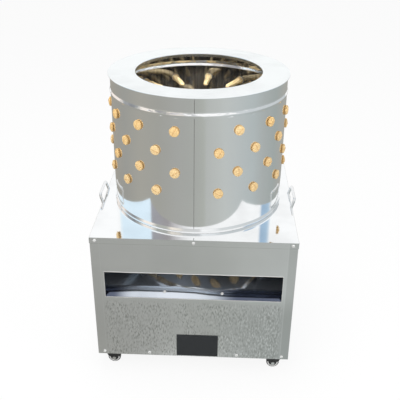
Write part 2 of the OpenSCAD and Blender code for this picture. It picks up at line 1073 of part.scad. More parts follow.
// Trapezoid section of the belt on a given inner radius, drawn smaller all round by an inset
module belt_section(r, inset) {
    low = belt_low_w / 2 - inset;
    high = belt_w / 2 - inset;
    polygon([
        [r + inset, -low], [r + inset, low], [r + belt_h - inset, high], [r + belt_h - inset, -high]
    ]);
}

// Closed belt: a bend round each pulley, and two straight runs that end just inside the bends
module v_belt() {
    color("black")
        translate([0, 0, pulley_z]) {
            rotate([0, 0, 180 - belt_turn])
                rotate_extrude(angle = 180 + 2 * belt_turn)
                    belt_section(belt_r, 0);
            translate([0, motor_y, 0])
                rotate([0, 0, belt_turn])
                    rotate_extrude(angle = 180 - 2 * belt_turn)
                        belt_section(belt_motor_r, 0);
            for (s = [0, 1])
                mirror([s, 0, 0])
                    rotate([0, 0, belt_turn])
                        translate([0, belt_run + belt_join, 0])
                            rotate([90, 0, 0])
                                linear_extrude(belt_run + 2 * belt_join)
                                    belt_section(belt_r, belt_inset);
        }
}

// Motor

module motor_plate() {
    plate_x = bar_x + angle_leg / 2;
    color("gray")
        difference() {
            translate([-plate_x, motor_y - motor_plate_half, bar_top])
                cube([2 * plate_x, 2 * motor_plate_half, motor_plate_t]);
            translate([0, motor_y, 0])
                cylinder(r = motor_flange_r * 0.6, h = deck_top);
            drive_bolt_shanks(screw_fit);
        }
}

// Finned motor frame with a flange on the mounting plate
module motor_body() {
    fin_n = 30;
    fin_root = 3;
    flange_h = 12;
    shield_h = 14;
    color("steelblue")
        translate([0, motor_y, motor_foot])
            difference() {
                union() {
                    cylinder(r = motor_flange_r, h = flange_h);
                    cylinder(d = motor_d, h = motor_len);
                    for (i = [0 : fin_n - 1])
                        rotate([0, 0, 360 * (i + 0.5) / fin_n])
                            translate([motor_d / 2 - fin_root, -1, flange_h - 1])
                                cube([fin_root + fin_h - 0.5, 2, motor_len - flange_h - shield_h + 2]);
                    translate([0, 0, motor_len - shield_h])
                        cylinder(r = motor_d / 2 + fin_h, h = shield_h);
                }
                translate([0, 0, -1])
                    cylinder(r = motor_shaft_d / 2 + gap, h = motor_len + 2);
            }
}

module motor_fan_cover() {
    cover_r = motor_d / 2 + fin_h;
    color("darkslategray")
        translate([0, motor_y, motor_cap])
            difference() {
                cylinder(r = cover_r, h = fan_cover_h);
                translate([0, 0, -1])
                    cylinder(r = cover_r - sheet_t, h = fan_cover_h + 1 - sheet_t);
                for (i = [0 : 11])
                    rotate([0, 0, 30 * i])
                        translate([cover_r * 0.35, -3, 0])
                            cube([cover_r * 0.5, 6, 2 * fan_cover_h]);
            }
}

// Run and start capacitor box on the motor's side
module capacitor_box() {
    box_w = 44;
    box_h = 78;
    box_depth = 40;
    body_r = motor_d / 2 + fin_h;
    color("darkslategray")
        translate([0, motor_y, motor_foot + 20])
            difference() {
                translate([body_r - 6, -box_w / 2, 0])
                    cube([box_depth, box_w, box_h]);
                translate([0, 0, -1])
                    cylinder(r = body_r + seat_gap, h = box_h + 2);
            }
}

module motor_shaft() {
    shaft_low = pulley_z - pulley_w / 2 - 4;
    color("silver")
        translate([0, motor_y, shaft_low])
            cylinder(d = motor_shaft_d, h = motor_cap + fan_cover_h * 0.6 - shaft_low);
}

module motor_fan() {
    fan_r = motor_d / 2 - 6;
    fan_h = fan_cover_h * 0.5;
    hub_wall = 6;
    bore_r = motor_shaft_d / 2 + fit_gap;
    color("ivory")
        translate([0, motor_y, motor_cap + 3])
            difference() {
                union() {
                    cylinder(r = bore_r + hub_wall, h = fan_h);
                    cylinder(r = fan_r, h = 2.5);
                    for (i = [0 : 6])
                        rotate([0, 0, 360 * i / 7])
                            translate([bore_r + hub_wall / 2, -1.25, 1])
                                cube([fan_r - bore_r - hub_wall / 2 - 2, 2.5, fan_h - 2.5]);
                }
                translate([0, 0, -1])
                    cylinder(r = bore_r, h = fan_h + 2);
            }
}

// Fasteners

// Shanks of the bolts that hold the bearing housing and the motor plate to the drive bars
module drive_bolt_places() {
    for (sx = [-1, 1])
        for (sy = [-1, 1]) {
            translate([sx * bar_x, sy * (housing_r + 4), bar_top + flange_t])
                children();
            translate([sx * bar_x, motor_y + sy * (motor_flange_r - 4), bar_top + motor_plate_t])
                children();
        }
}

module drive_bolt_shanks(clear) {
    drive_bolt_places()
        translate([0, 0, -flange_t - angle_t - 6])
            cylinder(d = hub_bolt_d + 2 * clear, h = flange_t + angle_t + 12);
}

module drive_bolts() {
    color("silver")
        drive_bolt_places()
            button_bolt(hub_bolt_d, motor_plate_t + angle_t);
}

// Pan-head screw, seat at z = 0, shank below
module pan_screw(length) {
    translate([0, 0, -length])
        cylinder(d = screw_d, h = length + 1);
    rotate_extrude()
        intersection() {
            translate([0, screw_head_h - screw_head_d * 0.8])
                circle(screw_head_d * 0.8);
            square([screw_head_d / 2, screw_head_h]);
        }
}

// Rows of screw places on each face: side is 0 front, 1 right, 2 rear, 3 left
function screw_edge(side) = (side % 2 == 0 ? inner_x : min(inner_front, inner_rear)) - corner_screw;
function screw_seat(side, top) =
    side == 0 ? base_d / 2 : (side == 2 ? base_d / 2 : base_w / 2) - (top ? 0 : sheet_t);

module each_screw() {
    for (side = [0 : 3]) {
        edge = screw_edge(side);
        rotate([0, 0, 90 * side]) {
            for (u = [-edge, 0, edge])
                translate([u, -screw_seat(side, true), top_screw_z])
                    rotate([90, 0, 0])
                        children();
            for (u = [low_screw_in - edge, -row_screw_x, row_screw_x, edge - low_screw_in])
                translate([u, -screw_seat(side, false), low_screw_z])
                    rotate([90, 0, 0])
                        children();
        }
    }
}

module screw_shanks(clear) {
    reach = 2 * sheet_t + angle_t + 2 * screw_grip;
    each_screw()
        cylinder(d = screw_d + 2 * clear, h = 2 * reach, center = true);
}

module panel_screws() {
    color("white")
        each_screw()
            pan_screw(2 * sheet_t + angle_t + screw_grip);
}

// Places a screw on the chute's rolled edge
module each_chute_screw() {
    for (s = [-1, 1])
        translate([s * chute_screw_x, roll_y, roll_z])
            rotate([chute_screw_angle, 0, 0])
                translate([0, 0, roll_r])
                    children();
}

module chute_screw_shanks(clear) {
    each_chute_screw()
        cylinder(d = screw_d + 2 * clear, h = 6 * angle_t, center = true);
}

module chute_screws() {
    color("white")
        each_chute_screw()
            translate([0, 0, seat_gap])
                pan_screw(sheet_t + angle_t + screw_grip);
}

// Handles

// Bent rod handle on the right edge of the deck, leaning outwards
module handle() {
    corner_r = 1.4 * handle_d;
    rod_r = handle_d / 2;
    foot_x = base_w / 2 - rod_r / cos(handle_lean) - gap;
    rise = handle_h / cos(handle_lean);
    half = handle_span / 2;
    intersection() {
        translate([foot_x, handle_y, deck_top])
            rotate([0, handle_lean, 0]) {
                for (s = [-1, 1]) {
                    translate([0, s * half, -2 * rod_r])
                        cylinder(r = rod_r, h = rise - corner_r + 2 * rod_r);
                    translate([0, s * (half - corner_r), rise - corner_r])
                        rotate([90, 0, 90])
                            rotate([0, 0, s > 0 ? 0 : 90])
                                rotate_extrude(angle = 90)
                                    translate([corner_r, 0])
                                        circle(rod_r);
                }
                translate([0, 0, rise])
                    rotate([90, 0, 0])
                        cylinder(r = rod_r, h = handle_span - 2 * corner_r, center = true);
            }
        translate([0, -base_d / 2, deck_top])
            cube([base_w, base_d, 4 * handle_h]);
    }
}

module right_handle() {
    color("lightgray")
        handle();
}

module left_handle() {
    color("lightgray")
        mirror([1, 0, 0])
            handle();
}

// Plates, switch and gland

module rating_plate() {
    label_t = 0.8;
    label_rise = 3;
    color("black")
        translate([label_x - label_w / 2, -base_d / 2 - label_t, caster_h + label_rise])
            cube([label_w, label_t, label_h]);
}

module at_switch() {
    translate([base_w / 2 - sheet_t, switch_y, switch_z])
        rotate([0, 90, 0])
            children();
}

module button_places(clear) {
    for (s = [-1, 1])
        translate([s * button_step, 0, 0])
            cylinder(d = button_d + 2 * clear, h = 40, center = true);
}

// Contact box behind the right-hand panel
module switch_box() {
    color("dimgray")
        difference() {
            at_switch()
                translate([-switch_h / 2, -switch_w / 2, -switch_depth])
                    cube([switch_h, switch_w, switch_depth]);
            at_switch()
                translate([0, 0, 20 - button_travel - 8])
                    button_places(gap);
        }
}

module switch_bezel() {
    rim = 2 * bezel_rim;
    color("gray")
        at_switch()
            difference() {
                translate([-(switch_h + rim) / 2, -(switch_w + rim) / 2, 0])
                    cube([switch_h + rim, switch_w + rim, bezel_t]);
                button_places(gap);
            }
}

module button(side) {
    stem = 8;
    at_switch()
        translate([side * button_step, 0, -stem + gap])
            rotate_extrude()
                intersection() {
                    square([button_d / 2, stem - gap + bezel_t + button_rise]);
                    translate([0, stem - gap + bezel_t + button_rise - button_d])
                        circle(button_d);
                }
}

module start_button() {
    color("green")
        button(-1);
}

module stop_button() {
    color("red")
        button(1);
}

// Cord gland through the right-hand panel, with a lock nut inside
module cable_gland() {
    dome_h = 4;
    color("dimgray")
        translate([base_w / 2 - sheet_t, gland_y, gland_z])
            rotate([0, 90, 0])
                difference() {
                    union() {
                        translate([0, 0, -sheet_t - gland_nut_h - 5])
                            cylinder(d = gland_d, h = sheet_t + gland_nut_h + 6);
                        cylinder(d = gland_nut_d, h = gland_nut_h, $fn = 6);
                        cylinder(d = gland_d, h = gland_nut_h + dome_h);
                        translate([0, 0, -sheet_t - gland_nut_h])
                            cylinder(d = gland_nut_d, h = gland_nut_h, $fn = 6);
                    }
                    cylinder(d = gland_bore_d, h = 80, center = true);
                }
}

// Casters

// Places a caster drawn round its swivel axis, trailing along +X
module caster_at(sx, sy) {
    translate([sx * caster_x, sy * caster_y, 0])
        rotate([0, 0, sx < 0 ? sy * caster_turn : 180 - sy * caster_turn])
            children();
}

// Top plates with their lower race and kingpin
module caster_plates() {
    plate_w = pad_w - 10;
    color("dimgray")
        for (sx = [-1, 1])
            for (sy = [-1, 1])
                translate([sx * caster_x, sy * caster_y, 0]) {
                    translate([-plate_w / 2, -plate_w / 2, caster_h - caster_plate_t])
                        cube([plate_w, plate_w, caster_plate_t]);
                    translate([0, 0, crown_top + gap])
                        cylinder(r = crown_r, h = race_h + 0.5);
                    translate([0, 0, kingpin_low])
                        cylinder(d = kingpin_d, h = caster_h - caster_plate_t - kingpin_low);
                    translate([0, 0, kingpin_low])
                        cylinder(d = kingpin_head_d, h = kingpin_head_h);
                }
}

// Pressed fork: round crown, two wide cheeks that taper to the axle, and the axle with its heads
module fork() {
    shoulder = wheel_r + 8;
    color("black") {
        difference() {
            union() {
                translate([0, 0, crown_low])
                    cylinder(r = crown_r, h = crown_t);
                translate([-fork_front, -fork_in - fork_t, crown_low])
                    cube([fork_front + fork_back, 2 * (fork_in + fork_t), crown_t]);
                for (s = [-1, 1])
                    translate([0, s * (fork_in + fork_t / 2), 0])
                        rotate([90, 0, 0])
                            linear_extrude(fork_t, center = true) {
                                polygon([
                                    [-fork_front, crown_top],
                                    [fork_back, crown_top],
                                    [caster_trail + wheel_r, shoulder],
                                    [caster_trail + fork_boss_r - 0.5, wheel_r],
                                    [caster_trail - fork_boss_r + 0.5, wheel_r],
                                    [caster_trail - wheel_r + 1, shoulder]
                                ]);
                                translate([caster_trail, wheel_r])
                                    circle(fork_boss_r);
                            }
            }
            translate([0, 0, crown_low - 1])
                cylinder(d = kingpin_d + 2 * gap, h = crown_t + 2);
        }
        translate([caster_trail, 0, wheel_r])
            rotate([90, 0, 0]) {
                cylinder(d = axle_d, h = 2 * (fork_in + fork_t), center = true);
                for (s = [-1, 1])
                    translate([0, 0, s * (fork_in + fork_t + axle_head_h / 2)])
                        cylinder(d = axle_head_d, h = axle_head_h, center = true, $fn = 6);
            }
    }
}

// Moulded wheel: rounded tread, recessed sides and a hub with the axle bore
module wheel() {
    tread_round = 4;
    web_r = wheel_r - 7;
    hub_r = 7;
    recess = 2.5;
    half = wheel_w / 2;
    color("dimgray")
        translate([caster_trail, 0, wheel_r])
            rotate([90, 0, 0])
                rotate_extrude()
                    difference() {
                        union() {
                            translate([axle_d / 2 + axle_fit, -half])
                                square([wheel_r - tread_round - axle_d / 2 - axle_fit, wheel_w]);
                            translate([axle_d, -half + tread_round])
                                square([wheel_r - axle_d, wheel_w - 2 * tread_round]);
                            for (s = [-1, 1])
                                translate([wheel_r - tread_round, s * (half - tread_round)])
                                    circle(tread_round);
                        }
                        for (s = [-1, 1])
                            translate([hub_r, s > 0 ? half - recess : -half - recess])
                                square([web_r - hub_r, 2 * recess]);
                    }
}

module fork_front_left() {
    caster_at(-1, -1)
        fork();
}

module fork_front_right() {
    caster_at(1, -1)
        fork();
}

module fork_rear_left() {
    caster_at(-1, 1)
        fork();
}

module fork_rear_right() {
    caster_at(1, 1)
        fork();
}

module wheel_front_left() {
    caster_at(-1, -1)
        wheel();
}

module wheel_front_right() {
    caster_at(1, -1)
        wheel();
}

module wheel_rear_left() {
    caster_at(-1, 1)
        wheel();
}

module wheel_rear_right() {
    caster_at(1, 1)
        wheel();
}

drum_shell();
splash_ring();
drum_fingers();
drum_clips();
deck_plate();
front_panel();
rear_panel();
left_panel();
right_panel();
feather_chute();
chute_rail();
corner_posts();
top_rails();
bottom_rails();
corner_pads();
mid_rails();
drive_bars();
bearing_housing();
bearing_outer_rings();
bearing_balls();
shaft_seal();
motor_plate();
motor_body();
motor_fan_cover();
capacitor_box();
v_belt();
switch_box();
switch_bezel();
cable_gland();
panel_screws();
chute_screws();
drive_bolts();
left_handle();
right_handle();
rating_plate();
caster_plates();
feather_plate();
plate_fingers();
plate_hub();
hub_bolts();
cap_nut();
main_shaft();
bearing_inner_rings();
drive_pulley();
motor_shaft();
motor_pulley();
motor_fan();
start_button();
stop_button();
fork_front_left();
fork_front_right();
fork_rear_left();
fork_rear_right();
wheel_front_left();
wheel_front_right();
wheel_rear_left();
wheel_rear_right();
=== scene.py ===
"""Looks of a drum poultry plucker: finishes, fingers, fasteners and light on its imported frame."""

import json
import logging
import math
from dataclasses import dataclass, replace
from enum import Enum
from typing import Any, Callable, Sequence, Union

import bmesh
import bpy
from mathutils import Matrix, Vector

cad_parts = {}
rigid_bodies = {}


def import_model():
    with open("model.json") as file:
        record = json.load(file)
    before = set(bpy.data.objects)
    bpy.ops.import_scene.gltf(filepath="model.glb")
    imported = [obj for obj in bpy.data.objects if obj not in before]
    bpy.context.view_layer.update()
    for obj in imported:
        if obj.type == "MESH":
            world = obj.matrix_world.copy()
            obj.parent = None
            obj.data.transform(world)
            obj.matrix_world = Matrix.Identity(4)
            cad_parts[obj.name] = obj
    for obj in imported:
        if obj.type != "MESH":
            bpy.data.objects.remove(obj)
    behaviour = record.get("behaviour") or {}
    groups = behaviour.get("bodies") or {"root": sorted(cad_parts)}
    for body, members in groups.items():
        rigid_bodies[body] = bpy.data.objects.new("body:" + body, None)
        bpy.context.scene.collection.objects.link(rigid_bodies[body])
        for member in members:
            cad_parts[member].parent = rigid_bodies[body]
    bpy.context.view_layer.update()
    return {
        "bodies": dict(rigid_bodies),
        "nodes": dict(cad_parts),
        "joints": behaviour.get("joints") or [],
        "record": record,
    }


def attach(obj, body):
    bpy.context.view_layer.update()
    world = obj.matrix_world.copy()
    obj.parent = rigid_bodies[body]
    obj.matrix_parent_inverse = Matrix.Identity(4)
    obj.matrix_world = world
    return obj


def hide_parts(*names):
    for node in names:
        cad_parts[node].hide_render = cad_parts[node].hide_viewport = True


Triple = tuple[float, float, float]
Span = tuple[float, float]
Outline = list[tuple[float, float]]
Seat = tuple[Vector, Vector]
Stops = tuple[tuple[float, Triple], ...]
Socket = bpy.types.NodeSocket
Material = bpy.types.Material
Piece = bpy.types.Object
Shape = bmesh.types.BMesh
Feed = Union["Value", Socket, float, int, bool, str, Sequence[float], bpy.types.ID]
Feeds = dict[str | int, Feed]
Places = tuple[Feed, Feed, Feed]

LOG = logging.getLogger("plucker")
ORIGIN: Triple = (0.0, 0.0, 0.0)
UP: Triple = (0.0, 0.0, 1.0)
BLACK: Triple = (0.0, 0.0, 0.0)
WHITE: Triple = (1.0, 1.0, 1.0)
QUARTER = 90.0


class Surface(Enum):
    """The finishes of the machine, by the record's slot names."""

    POLISHED = "polished_steel"
    MIRROR = "mirror_steel"
    RING = "ring_steel"
    PANEL = "panel_steel"
    FINGER = "finger_rubber"
    FRAME = "frame_steel"
    CAST = "cast_iron"
    GROUND = "bearing_steel"
    RUBBER = "black_rubber"
    MOTOR = "motor_paint"
    BLACK_PLASTIC = "black_plastic"
    GREY_PLASTIC = "grey_plastic"
    GREEN_PLASTIC = "green_plastic"
    RED_PLASTIC = "red_plastic"
    SCREW = "screw_steel"
    PLATE = "black_plate"
    BLACK_STEEL = "black_steel"
    TURNED = "plate_aluminium"
    WHEEL = "wheel_rubber"


class Corner(Enum):
    """The four casters."""

    FRONT_LEFT = "front_left"
    FRONT_RIGHT = "front_right"
    REAR_LEFT = "rear_left"
    REAR_RIGHT = "rear_right"


class Side(Enum):
    """The four faces of the base, by their turn round the drum axis in quarter turns."""

    FRONT = 0
    RIGHT = 1
    REAR = 2
    LEFT = 3


class Recess(Enum):
    """Drive recesses of the fasteners."""

    CROSS = "cross"
    HEX = "hex"


def opaque(colour: Feed) -> Feed:
    """Adds full cover to a colour of three numbers, and leaves anything else as it is."""
    return (*colour, 1.0) if isinstance(colour, tuple) else colour


def dimmed(colour: Triple, share: float, lift: float = 0.0) -> Triple:
    """Gives a colour with each of its numbers times a share, plus a lift."""
    return tuple(part * share + lift for part in colour)


def on_circle(radius: float, turn: float, height: float) -> Vector:
    """Gives the point at a radius, a turn about the Z axis in radians and a height."""
    return Vector((radius * math.cos(turn), radius * math.sin(turn), height))


class Tree:
    """A node tree that one method fills."""

    def __init__(self, tree: bpy.types.NodeTree) -> None:
        """Keeps the tree that is filled."""
        self.tree = tree

    def feed(self, socket: Socket, feed: Feed) -> None:
        """Links a socket to another one, or sets its value.

        Args:
            socket: The input that is fed.
            feed: A wrapped value, a socket or a plain value.
        """
        if isinstance(feed, Value):
            feed = feed.socket
        if isinstance(feed, Socket):
            self.tree.links.new(feed, socket)
        else:
            socket.default_value = feed

    def add(self, kind: str, sockets: Feeds | None = None, **settings: Any) -> bpy.types.Node:
        """Adds a node.

        Args:
            kind: The node's type.
            sockets: What feeds its inputs, by name or number.
            settings: Its own settings, which are set first.

        Returns:
            The node.
        """
        node = self.tree.nodes.new(kind)
        for name, value in settings.items():
            setattr(node, name, value)
        for key, feed in (sockets or {}).items():
            self.feed(node.inputs[key], feed)
        return node

    def value(
        self, kind: str, sockets: Feeds | None = None, output: str | int = 0, **settings: Any
    ) -> "Value":
        """Adds a node and wraps one of its outputs."""
        return Value(self, self.add(kind, sockets, **settings).outputs[output])

    def xyz(self, x: Feed, y: Feed, z: Feed) -> "Value":
        """Joins three numbers into a vector."""
        return self.value("ShaderNodeCombineXYZ", {0: x, 1: y, 2: z})

    def seen(self) -> "Value":
        """Gives 1 for what the camera sees, straight or in metal and glass.

        Returns:
            The wrapped number.
        """
        path = self.add("ShaderNodeLightPath")
        rays = ("Is Camera Ray", "Is Glossy Ray", "Is Transmission Ray")
        camera, glossy, through = (Value(self, path.outputs[ray]) for ray in rays)
        return camera.math("MAXIMUM", glossy).math("MAXIMUM", through)


class Value:
    """A socket that Python's operators work on, each of which adds a Math node."""

    def __init__(self, tree: Tree, socket: Socket) -> None:
        """Keeps the socket and the tree that holds it."""
        self.tree, self.socket = tree, socket

    def math(self, operation: str, other: Feed = 0.0) -> "Value":
        """Adds a Math node that works on this value and another one."""
        return self.tree.value("ShaderNodeMath", {0: self, 1: other}, operation=operation)

    def __add__(self, other: Feed) -> "Value":
        """Adds."""
        return self.math("ADD", other)

    def __sub__(self, other: Feed) -> "Value":
        """Takes away."""
        return self.math("SUBTRACT", other)

    def __rsub__(self, other: float) -> "Value":
        """Takes this value away from a number."""
        return self.tree.value("ShaderNodeMath", {0: other, 1: self}, operation="SUBTRACT")

    def __mul__(self, other: Feed) -> "Value":
        """Multiplies."""
        return self.math("MULTIPLY", other)

    def __truediv__(self, other: Feed) -> "Value":
        """Divides."""
        return self.math("DIVIDE", other)

    def __mod__(self, other: Feed) -> "Value":
        """Gives the remainder."""
        return self.math("MODULO", other)

    def __abs__(self) -> "Value":
        """Gives the size without the sign."""
        return self.math("ABSOLUTE")

    def __gt__(self, other: Feed) -> "Value":
        """Gives 1 where this value is greater."""
        return self.math("GREATER_THAN", other)

    def __lt__(self, other: Feed) -> "Value":
        """Gives 1 where this value is less."""
        return self.math("LESS_THAN", other)

    __radd__ = __add__
    __rmul__ = __mul__

    def ease(self, low: float, high: float) -> "Value":
        """Goes smoothly from 0 where this value is low to 1 where it is high."""
        ends = {"Value": self, "From Min": low, "From Max": high}
        return self.tree.value("ShaderNodeMapRange", ends, interpolation_type="SMOOTHSTEP")

    def fade(self, low: float, high: float) -> "Value":
        """Goes smoothly from 1 where this value is low to 0 where it is high."""
        return 1.0 - self.ease(low, high)


@dataclass(frozen=True)
class Grain:
    """A noise: its features to the metre, its octaves and its scale along each axis."""

    scale: float = 1.0
    detail: float = 2.0
    stretch: Triple = (1.0, 1.0, 1.0)


class Shade(Tree):
    """A material's tree round a Principled shader, with Object coordinates at hand."""

    def __init__(self, name: str) -> None:
        """Makes the material.

        Args:
            name: The material's name.
        """
        self.material = bpy.data.materials.new(name)
        self.material.use_nodes = True
        super().__init__(self.material.node_tree)
        self.shader = self.tree.nodes["Principled BSDF"]
        self.place = self.add("ShaderNodeTexCoord").outputs["Object"]

    def noise(self, grain: Grain) -> Value:
        """Gives a noise over the piece.

        Args:
            grain: The kind of noise.

        Returns:
            The noise, from 0 to 1.
        """
        spot = self.value("ShaderNodeMapping", {"Vector": self.place, "Scale": grain.stretch})
        sizes = {"Vector": spot, "Scale": grain.scale, "Detail": grain.detail}
        return self.value("ShaderNodeTexNoise", sizes)

    def mark(self, name: str) -> Value:
        """Gives a number that the mesh holds."""
        return self.value("ShaderNodeAttribute", None, "Fac", attribute_name=name)

    def axes(self) -> list[Value]:
        """Gives the place on the piece along X, Y and Z."""
        node = self.add("ShaderNodeSeparateXYZ", {0: self.place})
        return [Value(self, socket) for socket in node.outputs]

    def turn(self, centre: Triple = ORIGIN, axis: Triple = UP) -> tuple[Value, Value]:
        """Measures a place from an axle.

        Args:
            centre: A point on the axle.
            axis: The axle's direction.

        Returns:
            The distance along the axle from the centre, and the distance from the axle.
        """
        kind = "ShaderNodeVectorMath"
        arm = self.value(kind, {0: self.place, 1: centre}, operation="SUBTRACT")
        along = self.value(kind, {0: arm, 1: axis}, "Value", operation="DOT_PRODUCT")
        side = self.value(kind, {0: arm, 1: axis}, operation="CROSS_PRODUCT")
        return along, self.value(kind, {0: side}, "Value", operation="LENGTH")

    def mix(self, share: Feed, first: Feed, second: Feed) -> Value:
        """Mixes two colours, of which the second shows by a share from 0 to 1."""
        sockets = {0: share, 6: opaque(first), 7: opaque(second)}
        return self.value("ShaderNodeMix", sockets, 2, data_type="RGBA")

    def relief(self, height: Value, strength: float, distance: float) -> None:
        """Raises the surface by a height, where 1 stands for a distance in metres."""
        sizes = {"Strength": strength, "Distance": distance, "Height": height}
        self.feed(self.shader.inputs["Normal"], self.value("ShaderNodeBump", sizes))

    def coat(self, colour: Feed, roughness: Feed, metallic: Feed = 0.0, **rest: Feed) -> None:
        """Feeds the shader.

        Args:
            colour: The base colour.
            roughness: The roughness.
            metallic: The share of metal.
            rest: Other inputs of the shader, with _ for each space of their names.
        """
        feeds = {"Base_Color": opaque(colour), "Roughness": roughness, "Metallic": metallic, **rest}
        for name, feed in feeds.items():
            self.feed(self.shader.inputs[name.replace("_", " ")], feed)


class Finish:
    """A finish, which makes its material."""

    def paint(self, shade: Shade) -> None:
        """Feeds the shader of the material."""
        raise NotImplementedError

    def make(self, name: str) -> Material:
        """Makes the material.

        Args:
            name: The material's name.

        Returns:
            The material.
        """
        shade = Shade(name)
        self.paint(shade)
        return shade.material


@dataclass(frozen=True)
class SheetSteel(Finish):
    """Polished or satin stainless sheet, a little wavy, with smears and fine polishing lines."""

    colour: Triple
    roughness: float
    smear: float = 0.05
    wave: float = 0.1
    metal: float = 1.0
    dulled: float = 0.9
    wave_depth: float = 0.004
    line_lift: float = 0.04
    waves: Grain = Grain(5.0, 1.0)
    clouds: Grain = Grain(9.0, 3.0)
    lines: Grain = Grain(stretch=(900.0, 30.0, 900.0))
    cloud_span: Span = (0.35, 0.75)

    def paint(self, shade: Shade) -> None:
        """Feeds the shader.

        Args:
            shade: The material's tree.
        """
        cloud, lines = shade.noise(self.clouds), shade.noise(self.lines)
        lift = shade.noise(self.waves) + lines * self.line_lift
        shade.relief(lift, self.wave, self.wave_depth)
        dull = dimmed(self.colour, self.dulled)
        tint = shade.mix(cloud.ease(*self.cloud_span), self.colour, dull)
        shade.coat(tint, self.roughness + cloud * self.smear, self.metal)


@dataclass(frozen=True)
class DrumSteel(Finish):
    """Rolled and polished drum sheet in flat strips, bright outside, with painted shade and dark
    streaks within.
    """

    colour: Triple = (0.985, 0.99, 0.99)
    # Painted shade: the inner face's colour is darker than the outer one.
    inside_shade: Triple = (0.56, 0.58, 0.62)
    mid_wall: Span = (0.24905, 0.24945)
    bead_low: float = 0.79
    bead_high: float = 0.808
    bead_unshaded: float = 0.9
    dents: Grain = Grain(stretch=(30.0, 30.0, 60.0))
    strips: Grain = Grain(1.0, 1.0, (26.0, 26.0, 1.6))
    streaks: Grain = Grain(1.0, 3.0, (140.0, 140.0, 4.0))
    clouds: Grain = Grain(7.0, 3.0)
    cloud_span: Span = (0.3, 0.75)
    streak_span: Span = (0.35, 0.65)
    clouded: float = 0.97
    streaked: float = 0.6
    strip_lift: float = 0.8
    streak_lift: float = 0.05
    dent_lift: float = 3.0
    relief: Span = (0.14, 0.004)
    roughness: float = 0.07
    cloud_rough: float = 0.06
    inner_smooth: float = 0.03
    inner_grime: float = 0.06

    def paint(self, shade: Shade) -> None:
        """Feeds the shader.

        Args:
            shade: The material's tree.
        """
        height, radius = shade.turn()
        inner = radius.fade(*self.mid_wall)
        rolled = (height > self.bead_low) * (height < self.bead_high)
        strips, streaks = shade.noise(self.strips), shade.noise(self.streaks)
        cloud = shade.noise(self.clouds)
        clouded = dimmed(self.colour, self.clouded)
        outer = shade.mix(cloud.ease(*self.cloud_span), self.colour, clouded)
        # The dark streaks are part dirt and part painted reflection.
        streak_dark = dimmed(self.inside_shade, self.streaked)
        streaked = shade.mix(streaks.ease(*self.streak_span), self.inside_shade, streak_dark)
        # The inner bead keeps the bright outer colour, a painted highlight against the painted
        # shade.
        streaked = shade.mix(rolled * self.bead_unshaded, streaked, self.colour)
        dents = shade.noise(self.dents) * rolled
        lift = strips * self.strip_lift + streaks * self.streak_lift + dents * self.dent_lift
        shade.relief(lift, *self.relief)
        rough = self.roughness + cloud * self.cloud_rough - inner * self.inner_smooth
        shade.coat(shade.mix(inner, outer, streaked), rough, 1.0 - inner * self.inner_grime)


